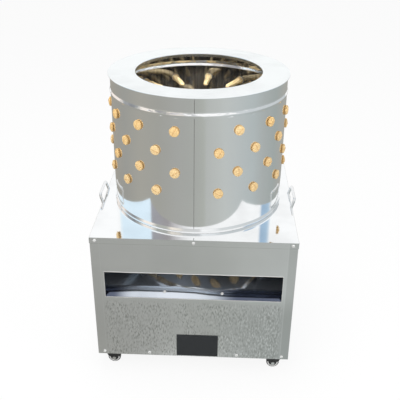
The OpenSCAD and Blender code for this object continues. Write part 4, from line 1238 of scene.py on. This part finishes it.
@dataclass
class Fingers:
    """The rubber fingers in the drum wall and on the spinning plate.

    The rib profile holds shares of a rib's length and height. The ridge stations are shares of
    the head's radius, and the arcs are turns in degrees round the head's edge and the tip.
    """

    wardrobe: Wardrobe
    head_radius: float = 0.0135
    head: float = 0.0065
    head_soft: float = 0.0025
    head_chamfer: float = 0.0012
    head_arc: tuple[int, ...] = (0, 22, 45, 67, 90)
    dome_shares: Triple = (0.0, 0.4, 0.75)
    crown: float = 0.0023
    neck_radius: float = 0.009
    collar_radius: float = 0.0115
    collar: float = 0.009
    collar_land: float = 0.003
    collar_low: Span = (0.0008, 0.001)
    collar_top: Span = (0.0007, 0.0006)
    root: float = 0.0095
    tip: float = 0.0075
    tip_arc: tuple[int, ...] = (0, 25, 50, 72)
    length: float = 0.095
    ribs: int = 9
    rib: float = 0.001
    rib_profile: tuple[Span, ...] = ((0.0, 0.0), (0.2, 0.35), (0.38, 1.0), (0.62, 1.0), (0.8, 0.35))
    ridge: float = 0.0008
    ridge_half: float = 0.0011
    ridge_sunk: float = 0.0006
    ridge_top: float = 0.55
    ridge_stations: tuple[float, ...] = (-0.82, -0.6, -0.2, 0.2, 0.6, 0.82)
    ridge_full: float = 0.7
    ridge_end: float = 0.35
    smooth_limit: float = 45.0
    rod_dark: float = 0.1
    # Painted shade on the parting ridge.
    ridge_shade: float = 0.6
    neck_over: float = 0.0005
    land_over: float = 0.0001
    steps: int = 24
    columns: int = 28
    seam_gap: float = 26.5
    seam_turn: float = 1.35
    drum_radius: float = 0.25
    drum_neck: float = 0.00197
    drum_seed: int = 11
    seat_gap: float = 0.0001
    row_low: float = 0.459 + 0.1213
    row_step: float = 0.0582
    plate_neck: float = 0.0052
    plate_under: float = 0.434
    plate_seed: int = 23
    ring_count: int = 7
    ring_first: float = 0.072
    ring_step: float = 0.063
    ring_turn: float = 3.3

    def dome(self, radius: float) -> float:
        """Gives the height of the head's domed face at a distance from its middle."""
        return -self.crown * (1.0 - (radius / self.head_radius) ** 2)

    def outline(self, neck: float) -> Outline:
        """Gives a finger's outline from its head to its tip.

        Args:
            neck: The neck's length.

        Returns:
            Pairs of radius and height.
        """
        soft, base, collar = self.head_soft, self.head + neck, self.collar_radius
        flat, land = self.head_radius - soft, base + self.collar_land
        pairs = [(flat * share, self.dome(flat * share)) for share in self.dome_shares]
        for turn in map(math.radians, self.head_arc):
            pairs.append((flat + soft * math.sin(turn), soft - soft * math.cos(turn)))
        pairs += [
            (self.head_radius, self.head - self.head_chamfer),
            (self.head_radius - self.head_chamfer, self.head),
            (self.neck_radius, self.head),
            (self.neck_radius, base),
            (collar - self.collar_low[0], base),
            (collar, base + self.collar_low[1]),
            (collar, land),
            (collar - self.collar_top[0], land + self.collar_top[1]),
        ]
        start, end = base + self.collar, self.length - self.tip
        root, tip = self.root - self.rib, self.tip - self.rib
        for i in range(self.ribs):
            for share, lift in self.rib_profile:
                along = (i + share) / self.ribs
                radius = root + (tip - root) * along + self.rib * lift
                pairs.append((radius, start + (end - start) * along))
        for turn in map(math.radians, self.tip_arc):
            pairs.append((tip * math.cos(turn), end + self.tip * math.sin(turn)))
        return pairs + [(0.0, self.length)]

    def add_ridge(self, shape: Shape) -> None:
        """Adds the parting ridge that arches over the head's dome.

        Args:
            shape: The mesh that the ridge goes to.
        """
        stations, half = [], self.ridge_half
        for share in self.ridge_stations:
            x = share * self.head_radius
            face, crest = self.dome(x), half * self.ridge_top
            top = face - self.ridge * (1.0 if abs(share) < self.ridge_full else self.ridge_end)
            foot = face + self.ridge_sunk
            corners = [(half, foot), (crest, top), (-crest, top), (-half, foot)]
            stations.append([shape.verts.new((x, y, z)) for y, z in corners])
        for left, right in zip(stations, stations[1:]):
            for i, k in ((0, 1), (1, 2), (2, 3), (3, 0)):
                shape.faces.new((left[i], left[k], right[k], right[i]))
        shape.faces.new(stations[0])
        shape.faces.new(stations[-1])

    def mould(self, name: str, neck: float) -> Piece:
        """Makes one finger, with the parting ridge across its head.

        Args:
            name: The pattern's name.
            neck: The neck's length.

        Returns:
            The pattern object, which is removed later.
        """
        shape = bmesh.new()
        turn_outline(shape, self.outline(neck), self.steps)
        plain = len(shape.verts)
        self.add_ridge(shape)
        pattern = piece_of(name, shape, self.smooth_limit)
        mesh, base = pattern.data, self.head + neck
        rim, collar_highlight, rod = (mesh.attributes.new(n, "FLOAT", "POINT") for n in ("rim", "collar_highlight", "rod"))
        low, high = base + self.neck_over, base + self.collar_land + self.land_over
        # The rim mark is painted shade, from nothing on the head's face to full under the head and
        # down the neck, and part on the ridge; the collar's land gets a painted highlight.
        for vert, dark, pale, long in zip(mesh.vertices, rim.data, collar_highlight.data, rod.data):
            height = vert.co.z
            dark.value = max(0.0, min(1.0, height / self.head)) if height < low else self.rod_dark
            pale.value = float(low < height < high)
            long.value = float(height > base)
            if vert.index >= plain:
                dark.value = self.ridge_shade
        return pattern

    def drum_places(self, maker: Maker) -> Places:
        """Gives the staggered rows of fingers in the drum wall.

        Args:
            maker: The tree that computes them.

        Returns:
            The number of fingers, the place of each head's face and each finger's direction.
        """
        gap = self.seam_gap
        columns = maker.size("Columns", self.columns, "Int")
        first = maker.size("First turn", math.radians(self.seam_turn + gap / 2 - QUARTER))
        pitch = maker.size("Turn step", math.radians((360.0 - gap) / (self.columns - 1)))
        radius = maker.size("Head radius", self.drum_radius + self.seat_gap + self.head)
        low = maker.size("Lowest row", self.row_low)
        step = maker.size("Row step", self.row_step)
        index = maker.value("GeometryNodeInputIndex")
        column = (index / 2.0).math("FLOOR")
        turn = first + column * pitch
        cosine, sine = turn.math("COSINE"), turn.math("SINE")
        height = low + step * ((index % 2.0) * 2.0 + column % 2.0)
        place = maker.xyz(radius * cosine, radius * sine, height)
        return columns * 2.0, place, maker.xyz(cosine * -1.0, sine * -1.0, 0.0)

    def plate_places(self, maker: Maker) -> Places:
        """Gives the three rings of fingers on the spinning plate.

        Args:
            maker: The tree that computes them.

        Returns:
            The number of fingers, the place of each head's face and each finger's direction.
        """
        each = maker.size("Fingers added by a ring", float(self.ring_count))
        first = maker.size("First radius", self.ring_first)
        step = maker.size("Radius step", self.ring_step)
        start = maker.size("First turn", math.radians(self.ring_turn - QUARTER))
        low = maker.size("Head height", self.plate_under - self.seat_gap - self.head)
        index = maker.value("GeometryNodeInputIndex")
        ring = (index > each - 0.5) + (index > each * 3.0 - 0.5)
        before = each * ring * (ring + 1.0) / 2.0
        turn = start + (index - before) * math.tau / (each * (ring + 1.0))
        radius = first + ring * step
        place = maker.xyz(radius * turn.math("COSINE"), radius * turn.math("SINE"), low)
        return each * 6.0, place, UP

    def grow(
        self,
        name: str,
        places: Callable[[Maker], Places],
        neck: float,
        seed: int,
        body: str,
        node: str,
    ) -> None:
        """Puts fingers on computed places and settles the piece.

        Args:
            name: The piece's name.
            places: The method that computes the places.
            neck: The neck's length.
            seed: The seed of the turns and tones.
            body: The body that the piece rides on.
            node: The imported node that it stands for.
        """
        pattern = self.mould(name + "_pattern", neck)
        maker = Maker(name + "_set")
        shape, number = maker.shape_of(pattern), maker.size("Seed", seed, "Int")
        count, place, facing = places(maker)
        points = maker.value("GeometryNodePoints", {"Count": count, "Position": place})
        fingers = maker.spread(points, shape, facing, number)
        tone = {"Geometry": fingers, "Name": "tone", "Value": maker.chance(0.0, 1.0, number)}
        kind = "GeometryNodeStoreNamedAttribute"
        toned = maker.value(kind, tone, data_type="FLOAT", domain="INSTANCE")
        piece = maker.run(name, toned, self.wardrobe.get(Surface.FINGER))
        bpy.data.objects.remove(pattern)
        settle(piece, body, Surface.FINGER, node)

    def build(self) -> None:
        """Makes the fingers of the drum and of the plate."""
        drum = self.drum_places, self.drum_neck, self.drum_seed
        self.grow("drum_finger_rows", *drum, "base", "drum_fingers")
        plate = self.plate_places, self.plate_neck, self.plate_seed
        self.grow("plate_finger_rings", *plate, "finger_plate", "plate_fingers")


@dataclass
class FastenerShape:
    """One kind of screw or bolt head, seat at z = 0 and shank below it.

    The profile holds shares of the head's radius and height, and the recess sizes are shares of
    its radius, or of its height for the depth.
    """

    radius: float
    height: float
    shank: float
    reach: float
    recess: Recess
    profile: tuple[Span, ...] = ((0.98, 0.0), (1.0, 0.12), (0.97, 0.45), (0.84, 0.8), (0.66, 1.0))
    hex_radius: float = 0.4
    cross_arm: float = 0.5
    cross_half: float = 0.1
    recess_depth: float = 0.45
    recess_taper: float = 0.92
    smooth_limit: float = 40.0
    steps: int = 20

    def recess_points(self, top: float) -> list[Vector]:
        """Gives the recess's outline on the head's flat.

        Args:
            top: The flat's height.

        Returns:
            The outline's points.
        """
        if self.recess is Recess.HEX:
            side = self.radius * self.hex_radius
            return [on_circle(side, math.tau * k / 6, top) for k in range(6)]
        arm, half = self.radius * self.cross_arm, self.radius * self.cross_half
        return [
            Vector((x * c - y * s, x * s + y * c, top))
            for c, s in ((1, 0), (0, 1), (-1, 0), (0, -1))
            for x, y in ((arm, -half), (arm, half), (half, half))
        ]

    def pattern(self, name: str) -> Piece:
        """Makes the head with its recess, and the shank.

        Args:
            name: The pattern's name.

        Returns:
            The pattern object, which is removed later.
        """
        shape = bmesh.new()
        outline = [(0.0, -self.reach), (self.shank, -self.reach), (self.shank, 0.0)]
        outline += [(self.radius * wide, self.height * tall) for wide, tall in self.profile]
        rim = turn_outline(shape, outline, self.steps)[-1]
        hole = [shape.verts.new(point) for point in self.recess_points(self.height)]
        sunk = Vector((0, 0, self.height * self.recess_depth))
        floor = [shape.verts.new(vert.co * self.recess_taper - sunk) for vert in hole]
        edges = []
        for loop in (rim, hole):
            for a, b in zip(loop, loop[1:] + loop[:1]):
                edges.append(shape.edges.get((a, b)) or shape.edges.new((a, b)))
        bmesh.ops.triangle_fill(shape, use_beauty=True, edges=edges)
        for corners in zip(hole, hole[1:] + hole[:1], floor[1:] + floor[:1], floor):
            shape.faces.new(corners)
        shape.faces.new(floor)
        return piece_of(name, shape, self.smooth_limit)


@dataclass
class Fasteners:
    """The screws of the panels and tray, and the bolts of the hub and drive."""

    wardrobe: Wardrobe
    half_width: float = 0.285
    half_depth: float = 0.286
    sheet: float = 0.0015
    corner_x: float = 0.2695
    corner_y: float = 0.2705
    low_in: float = 0.025 / 4.5
    row: float = 0.13
    top: float = 0.45
    low: float = 0.064
    panel_seed: int = 3
    hub_count: int = 6
    hub_radius: float = 0.0415
    hub_top: float = 0.439
    hub_reach: float = 0.015
    hub_seed: int = 7
    bolt_x: float = 0.06205
    housing_y: float = 0.04405
    housing_top: float = 0.1935
    motor_y: float = 0.197
    motor_half: float = 0.066
    motor_top: float = 0.1895
    drive_seed: int = 6
    tray_x: float = 0.082
    tray_gap: float = 0.0001
    tray_seed: int = 4
    roll_radius: float = 0.11
    roll_slope: float = 42.0
    tray_slope: float = 23.0
    tray_front: float = 0.2842
    slot_low: float = 0.264

    def spots(self, name: str, seats: Sequence[Seat]) -> bpy.types.Mesh:
        """Makes a cloud of points that hold a direction each.

        Args:
            name: The mesh's name.
            seats: Pairs of point and direction.

        Returns:
            The mesh.
        """
        mesh = bpy.data.meshes.new(name)
        mesh.from_pydata([point for point, _ in seats], [], [])
        facing = mesh.attributes.new("facing", "FLOAT_VECTOR", "POINT")
        for mark, (_, direction) in zip(facing.data, seats):
            mark.vector = direction
        return mesh

    def set_in(
        self, name: str, kind: FastenerShape, seats: Sequence[Seat], seed: int, body: str, node: str
    ) -> None:
        """Puts a fastener on each seat and settles the piece.

        Args:
            name: The piece's name.
            kind: The fastener.
            seats: Pairs of seat and direction.
            seed: The seed of the turns.
            body: The body that the piece rides on.
            node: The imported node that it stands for.
        """
        pattern = kind.pattern(name + "_pattern")
        maker = Maker(name + "_set")
        points = maker.size("Geometry", None, "Geometry")
        shape, number = maker.shape_of(pattern), maker.size("Seed", seed, "Int")
        source = "GeometryNodeInputNamedAttribute"
        facing = maker.value(source, {"Name": "facing"}, data_type="FLOAT_VECTOR")
        placed = maker.spread(points, shape, facing, number)
        spots = self.spots(name + "_spots", seats)
        piece = maker.run(name, placed, self.wardrobe.get(Surface.SCREW), spots)
        bpy.data.objects.remove(pattern)
        settle(piece, body, Surface.SCREW, node)

    def panel_seats(self) -> list[Seat]:
        """Gives the seats of the panel screws on the four faces.

        Returns:
            Pairs of seat and direction.
        """
        seats = []
        for side in Side:
            across = side in (Side.FRONT, Side.REAR)
            edge = self.corner_x if across else self.corner_y
            face = self.half_depth if across else self.half_width
            low_face = face if side is Side.FRONT else face - self.sheet
            low_edge = edge - self.low_in
            turn = Matrix.Rotation(math.pi / 2 * side.value, 3, "Z")
            spots = [(u, -face, self.top) for u in (-edge, 0.0, edge)]
            row = (-low_edge, -self.row, self.row, low_edge)
            spots += [(u, -low_face, self.low) for u in row]
            seats += [(turn @ Vector(spot), turn @ Vector((0, -1, 0))) for spot in spots]
        return seats

    def tray_seats(self) -> list[Seat]:
        """Gives the seats of the two screws on the tray's rolled edge.

        Returns:
            Pairs of seat and direction.
        """
        radius, roll = self.roll_radius, math.radians(self.roll_slope)
        slope = math.radians((self.roll_slope + self.tray_slope) / 2)
        y = radius * math.sin(roll) - self.tray_front
        centre = Vector((0, y, self.slot_low - radius * math.cos(roll)))
        out = Vector((0, -math.sin(slope), math.cos(slope)))
        seat = centre + out * (radius + self.tray_gap)
        return [(seat + Vector((side * self.tray_x, 0, 0)), out) for side in (-1, 1)]

    def build(self) -> None:
        """Makes the four sets of fasteners."""
        pan = FastenerShape(
            radius=0.0045, height=0.0025, shank=0.002, reach=0.008, recess=Recess.CROSS
        )
        bolt = FastenerShape(
            radius=0.0077, height=0.0047, shank=0.004, reach=0.009, recess=Recess.HEX
        )
        hub, up = replace(bolt, reach=self.hub_reach), Vector(UP)
        turns = [math.tau * k / self.hub_count for k in range(self.hub_count)]
        hub_seats = [(on_circle(self.hub_radius, turn, self.hub_top), up) for turn in turns]
        drive_seats = []
        for x in (-self.bolt_x, self.bolt_x):
            for side in (-1, 1):
                motor_y = self.motor_y + side * self.motor_half
                drive_seats.append((Vector((x, side * self.housing_y, self.housing_top)), up))
                drive_seats.append((Vector((x, motor_y, self.motor_top)), up))
        self.set_in(
            "panel_screw_heads", pan, self.panel_seats(), self.panel_seed, "base", "panel_screws"
        )
        self.set_in(
            "tray_screw_heads", pan, self.tray_seats(), self.tray_seed, "base", "chute_screws"
        )
        self.set_in("drive_bolt_heads", bolt, drive_seats, self.drive_seed, "base", "drive_bolts")
        self.set_in(
            "hub_bolt_heads", hub, hub_seats, self.hub_seed, "finger_plate", "hub_bolts"
        )


@dataclass
class SlotHem:
    """The rolled edge of the front panel round the feather slot."""

    width: float = 0.501
    low: float = 0.264
    high: float = 0.349
    face: float = 0.2862
    wire: float = 0.0008
    wire_sides: int = 8
    wave: float = 0.0016
    wave_scale: float = 16.0
    step: float = 0.0025
    metal: Finish = SheetSteel((0.95, 0.95, 0.93), 0.3, metal=0.6)

    def build(self) -> None:
        """Makes the edge as a wire that follows the slot and is not quite straight."""
        name = "slot_hem"
        maker = Maker(name)
        height = maker.size("Height", self.high - self.low)
        frame = {"Width": maker.size("Width", self.width), "Height": height}
        edge = maker.value("GeometryNodeCurvePrimitiveQuadrilateral", frame, mode="RECTANGLE")
        steps = {"Curve": edge, "Length": maker.size("Step", self.step)}
        fine = maker.value("GeometryNodeResampleCurve", steps, mode="LENGTH")
        sway = maker.value("ShaderNodeTexNoise", {"Scale": self.wave_scale, "Detail": 1.0}) - 0.5
        offset = maker.xyz(0.0, sway * maker.size("Wave", self.wave), 0.0)
        bent = maker.value("GeometryNodeSetPosition", {"Geometry": fine, "Offset": offset})
        place = (0.0, -self.face, (self.low + self.high) / 2)
        stand = {"Geometry": bent, "Translation": place, "Rotation": (math.pi / 2, 0.0, 0.0)}
        upright = maker.value("GeometryNodeTransform", stand)
        circle = {"Resolution": self.wire_sides, "Radius": maker.size("Wire radius", self.wire)}
        ring = maker.value("GeometryNodeCurvePrimitiveCircle", circle, mode="RADIUS")
        sweep = {"Curve": upright, "Profile Curve": ring}
        wire = maker.value("GeometryNodeCurveToMesh", sweep)
        settle(maker.run(name, wire, self.metal.make("hem_steel")), "base", Surface.PANEL)


@dataclass
class Casters:
    """The finishes of the caster wheels and forks, each about its own axle."""

    wardrobe: Wardrobe
    joints: list[dict[str, Any]]

    def build(self) -> None:
        """Dresses the four casters."""
        axles = {joint["name"]: joint for joint in self.joints}
        for corner in Corner:
            axle = axles["roll_" + corner.value]
            centre, axis = tuple(axle["pos_m"]), tuple(axle["axis"])
            for part, finish in (("wheel_", CasterWheel), ("fork_", CasterFork)):
                node = part + corner.value
                self.wardrobe.dress(node, finish(centre, axis).make(node))
            LOG.info("dressed caster %s", corner.value)


# Colours of the rings of glowing cards, painted reflections that polished steel mirrors, each at a
# turn in degrees from the front towards the right.
GROUND_STOPS: Stops = (
    (-180.0, (0.381, 0.372, 0.338)), (-140.0, (0.355, 0.338, 0.299)),
    (-105.0, (0.329, 0.329, 0.307)), (-75.0, (0.368, 0.36, 0.324)),
    (-48.0, (0.351, 0.351, 0.324)), (-25.0, (0.372, 0.377, 0.36)),
    (0.0, (0.389, 0.403, 0.381)), (9.0, (0.412, 0.431, 0.402)),
    (12.0, (0.459, 0.478, 0.464)), (24.0, (0.483, 0.507, 0.493)),
    (34.0, (0.507, 0.536, 0.526)), (48.0, (0.489, 0.524, 0.524)),
    (70.0, (0.442, 0.489, 0.494)), (90.0, (0.394, 0.424, 0.42)),
    (112.0, (0.351, 0.389, 0.381)), (140.0, (0.389, 0.389, 0.364)),
    (180.0, (0.381, 0.372, 0.338)),
)
HORIZON_STOPS: Stops = (
    (-140.0, (0.45, 0.45, 0.44)), (-132.0, (0.95, 0.86, 0.8)), (-108.0, (0.92, 0.84, 0.78)),
    (-100.0, (0.4, 0.41, 0.42)), (-86.0, (0.25, 0.26, 0.28)), (-76.0, (0.42, 0.43, 0.42)),
    (-69.0, (0.95, 0.88, 0.82)), (-57.0, (0.92, 0.86, 0.8)), (-50.0, (0.42, 0.43, 0.4)),
    (-36.0, (0.44, 0.45, 0.42)), (-31.0, (0.9, 0.83, 0.74)), (-20.0, (0.8, 0.76, 0.7)),
    (-14.0, (0.62, 0.63, 0.63)), (4.0, (0.64, 0.65, 0.66)), (8.0, (0.95, 0.96, 0.97)),
    (22.0, (0.85, 0.87, 0.88)), (32.0, (0.66, 0.69, 0.7)), (65.0, (0.6, 0.64, 0.66)),
    (140.0, (0.55, 0.58, 0.6)),
)
SKY_STOPS: Stops = (
    (-140.0, (0.9, 0.97, 1.0)), (-125.0, (0.76, 0.9, 1.0)), (-65.0, (0.76, 0.9, 1.0)),
    (-61.0, (0.36, 0.36, 0.39)), (-38.0, (0.36, 0.34, 0.35)), (-28.0, (0.6, 0.58, 0.59)),
    (-8.0, WHITE), (94.0, WHITE), (99.0, (0.36, 0.5, 0.66)),
    (114.0, (0.42, 0.57, 0.72)), (122.0, (0.95, 0.98, 1.0)),
)


@dataclass(frozen=True)
class Lamp:
    """A soft square lamp: its side, its power, its beam in degrees and the point that it faces."""

    name: str
    place: Triple
    size: float
    energy: float
    spread: float = 180.0
    target: Triple = (0.0, 0.0, 0.45)

    def build(self) -> None:
        """Adds the lamp, which metal does not mirror."""
        data = bpy.data.lights.new(self.name, "AREA")
        data.energy, data.size, data.spread = self.energy, self.size, math.radians(self.spread)
        lamp = new_piece(self.name, data)
        lamp.location = self.place
        beam = Vector(self.target) - Vector(self.place)
        lamp.rotation_euler = beam.to_track_quat("-Z", "Y").to_euler()
        lamp.visible_glossy = False


LAMPS = (
    Lamp("key", (-1.6, -2.6, 3.0), 2.4, 44.0),
    Lamp("side", (2.8, -1.2, 2.2), 2.0, 18.0),
    Lamp("top", (-0.2, 0.1, 3.2), 1.0, 34.0),
    Lamp("mouth", (0.0, -1.3, 2.4), 0.3, 0.46, 12.0, (0.0, 0.1, 0.76)),
)


@dataclass
class Studio:
    """The floor, the soft light, the cards that metal mirrors, and the camera."""

    floor_half: float = 40.0
    fill: float = 0.62
    lens: float = 56.32
    sensor: float = 36.0
    clip: Span = (0.01, 200.0)
    distance: float = 1.9532
    aim: Triple = (0.006416, 0.0, 0.43332)
    elevation: float = 27.567
    yaw: float = 2.062
    roll: float = 0.574
    ground: float = 0.002
    ground_inner: float = 0.34
    card_radius: float = 3.6
    card_step: float = 6.0
    horizon: float = 2.0
    sky_high: float = 6.0

    def build_floor(self) -> None:
        """Makes the pale floor."""
        shape = bmesh.new()
        bmesh.ops.create_grid(shape, x_segments=4, y_segments=4, size=self.floor_half)
        floor = piece_of("studio_floor", shape, material=PaleFloor().make("pale_floor"))

    def build_card(self, name: str, outline: Outline, stops: Stops) -> None:
        """Makes a ring of coloured cards that polished walls mirror and the camera does not see.

        Args:
            name: The card's name.
            outline: Its two pairs of radius and height.
            stops: Its colours round the machine, which run into each other.
        """
        points, tints = [], []
        for (start, first), (end, second) in zip(stops, stops[1:]):
            count = math.ceil((end - start) / self.card_step)
            for share in (k / count for k in range(count + (end == stops[-1][0]))):
                turn = math.radians(start + (end - start) * share - QUARTER)
                points += [on_circle(radius, turn, height) for radius, height in outline]
                tints += [Vector(first).lerp(Vector(second), share)] * len(outline)
        mesh = bpy.data.meshes.new(name)
        faces = [(i, i + 1, i + 3, i + 2) for i in range(0, len(points) - 2, 2)]
        mesh.from_pydata(points, [], faces)
        layer = mesh.attributes.new("tint", "FLOAT_COLOR", "POINT")
        for mark, colour in zip(layer.data, tints):
            mark.color = (*colour, 1.0)
        mesh.materials.append(CardLight().make(name))
        card = new_piece(name, mesh)
        card.visible_camera = card.visible_diffuse = card.visible_shadow = False

    def build_world(self) -> None:
        """Makes the white sky, which lights gently and shows white in metal."""
        world = bpy.data.worlds.new("studio")
        world.use_nodes = True
        bpy.context.scene.world = world
        tree, nodes = Tree(world.node_tree), world.node_tree.nodes
        light, colour = nodes["Background"], opaque(WHITE)
        light.inputs["Color"].default_value = colour
        light.inputs["Strength"].default_value = self.fill
        shown = tree.value("ShaderNodeBackground", {"Color": colour, "Strength": 1.0})
        pair = {1: light.outputs[0], 2: shown}
        both = tree.value("ShaderNodeMixShader", {0: tree.seen(), **pair})
        tree.feed(nodes["World Output"].inputs[0], both)

    def build_camera(self) -> None:
        """Makes the camera where the photo was taken from."""
        el, yaw, roll = (math.radians(a) for a in (self.elevation, self.yaw, self.roll))
        back = Vector((math.sin(yaw) * math.cos(el), -math.cos(yaw) * math.cos(el), math.sin(el)))
        side = (-back).cross(Vector(UP)).normalized()
        up = side.cross(-back)
        right = side * math.cos(roll) + up * math.sin(roll)
        above = up * math.cos(roll) - side * math.sin(roll)
        data = bpy.data.cameras.new("photo_view")
        data.lens, data.sensor_width = self.lens, self.sensor
        data.clip_start, data.clip_end = self.clip
        camera = new_piece("photo_view", data)
        place = Matrix.Translation(Vector(self.aim) + back * self.distance)
        camera.matrix_world = place @ Matrix((right, above, back)).transposed().to_4x4()
        bpy.context.scene.camera = camera

    def build(self) -> None:
        """Makes the studio."""
        bpy.context.scene.view_settings.view_transform = "Standard"
        self.build_floor()
        edge, ground, horizon = self.card_radius, self.ground, self.horizon
        self.build_card("ground_card", [(self.ground_inner, ground), (edge, ground)], GROUND_STOPS)
        self.build_card("horizon_card", [(edge, ground), (edge, horizon)], HORIZON_STOPS)
        self.build_card("sky_card", [(edge, horizon), (edge, self.sky_high)], SKY_STOPS)
        self.build_world()
        for lamp in LAMPS:
            lamp.build()
        self.build_camera()


def main() -> None:
    """Builds the machine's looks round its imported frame."""
    logging.basicConfig(level=logging.INFO, format="%(name)s: %(message)s")
    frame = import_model()
    wardrobe = Wardrobe(frame)
    wardrobe.dress_all()
    wardrobe.dress("feather_chute", TraySteel().make("tray_steel"))
    Drum(wardrobe).build()
    Fingers(wardrobe).build()
    Fasteners(wardrobe).build()
    SlotHem().build()
    Casters(wardrobe, frame["joints"]).build()
    Studio().build()


if __name__ == "__main__":
    main()
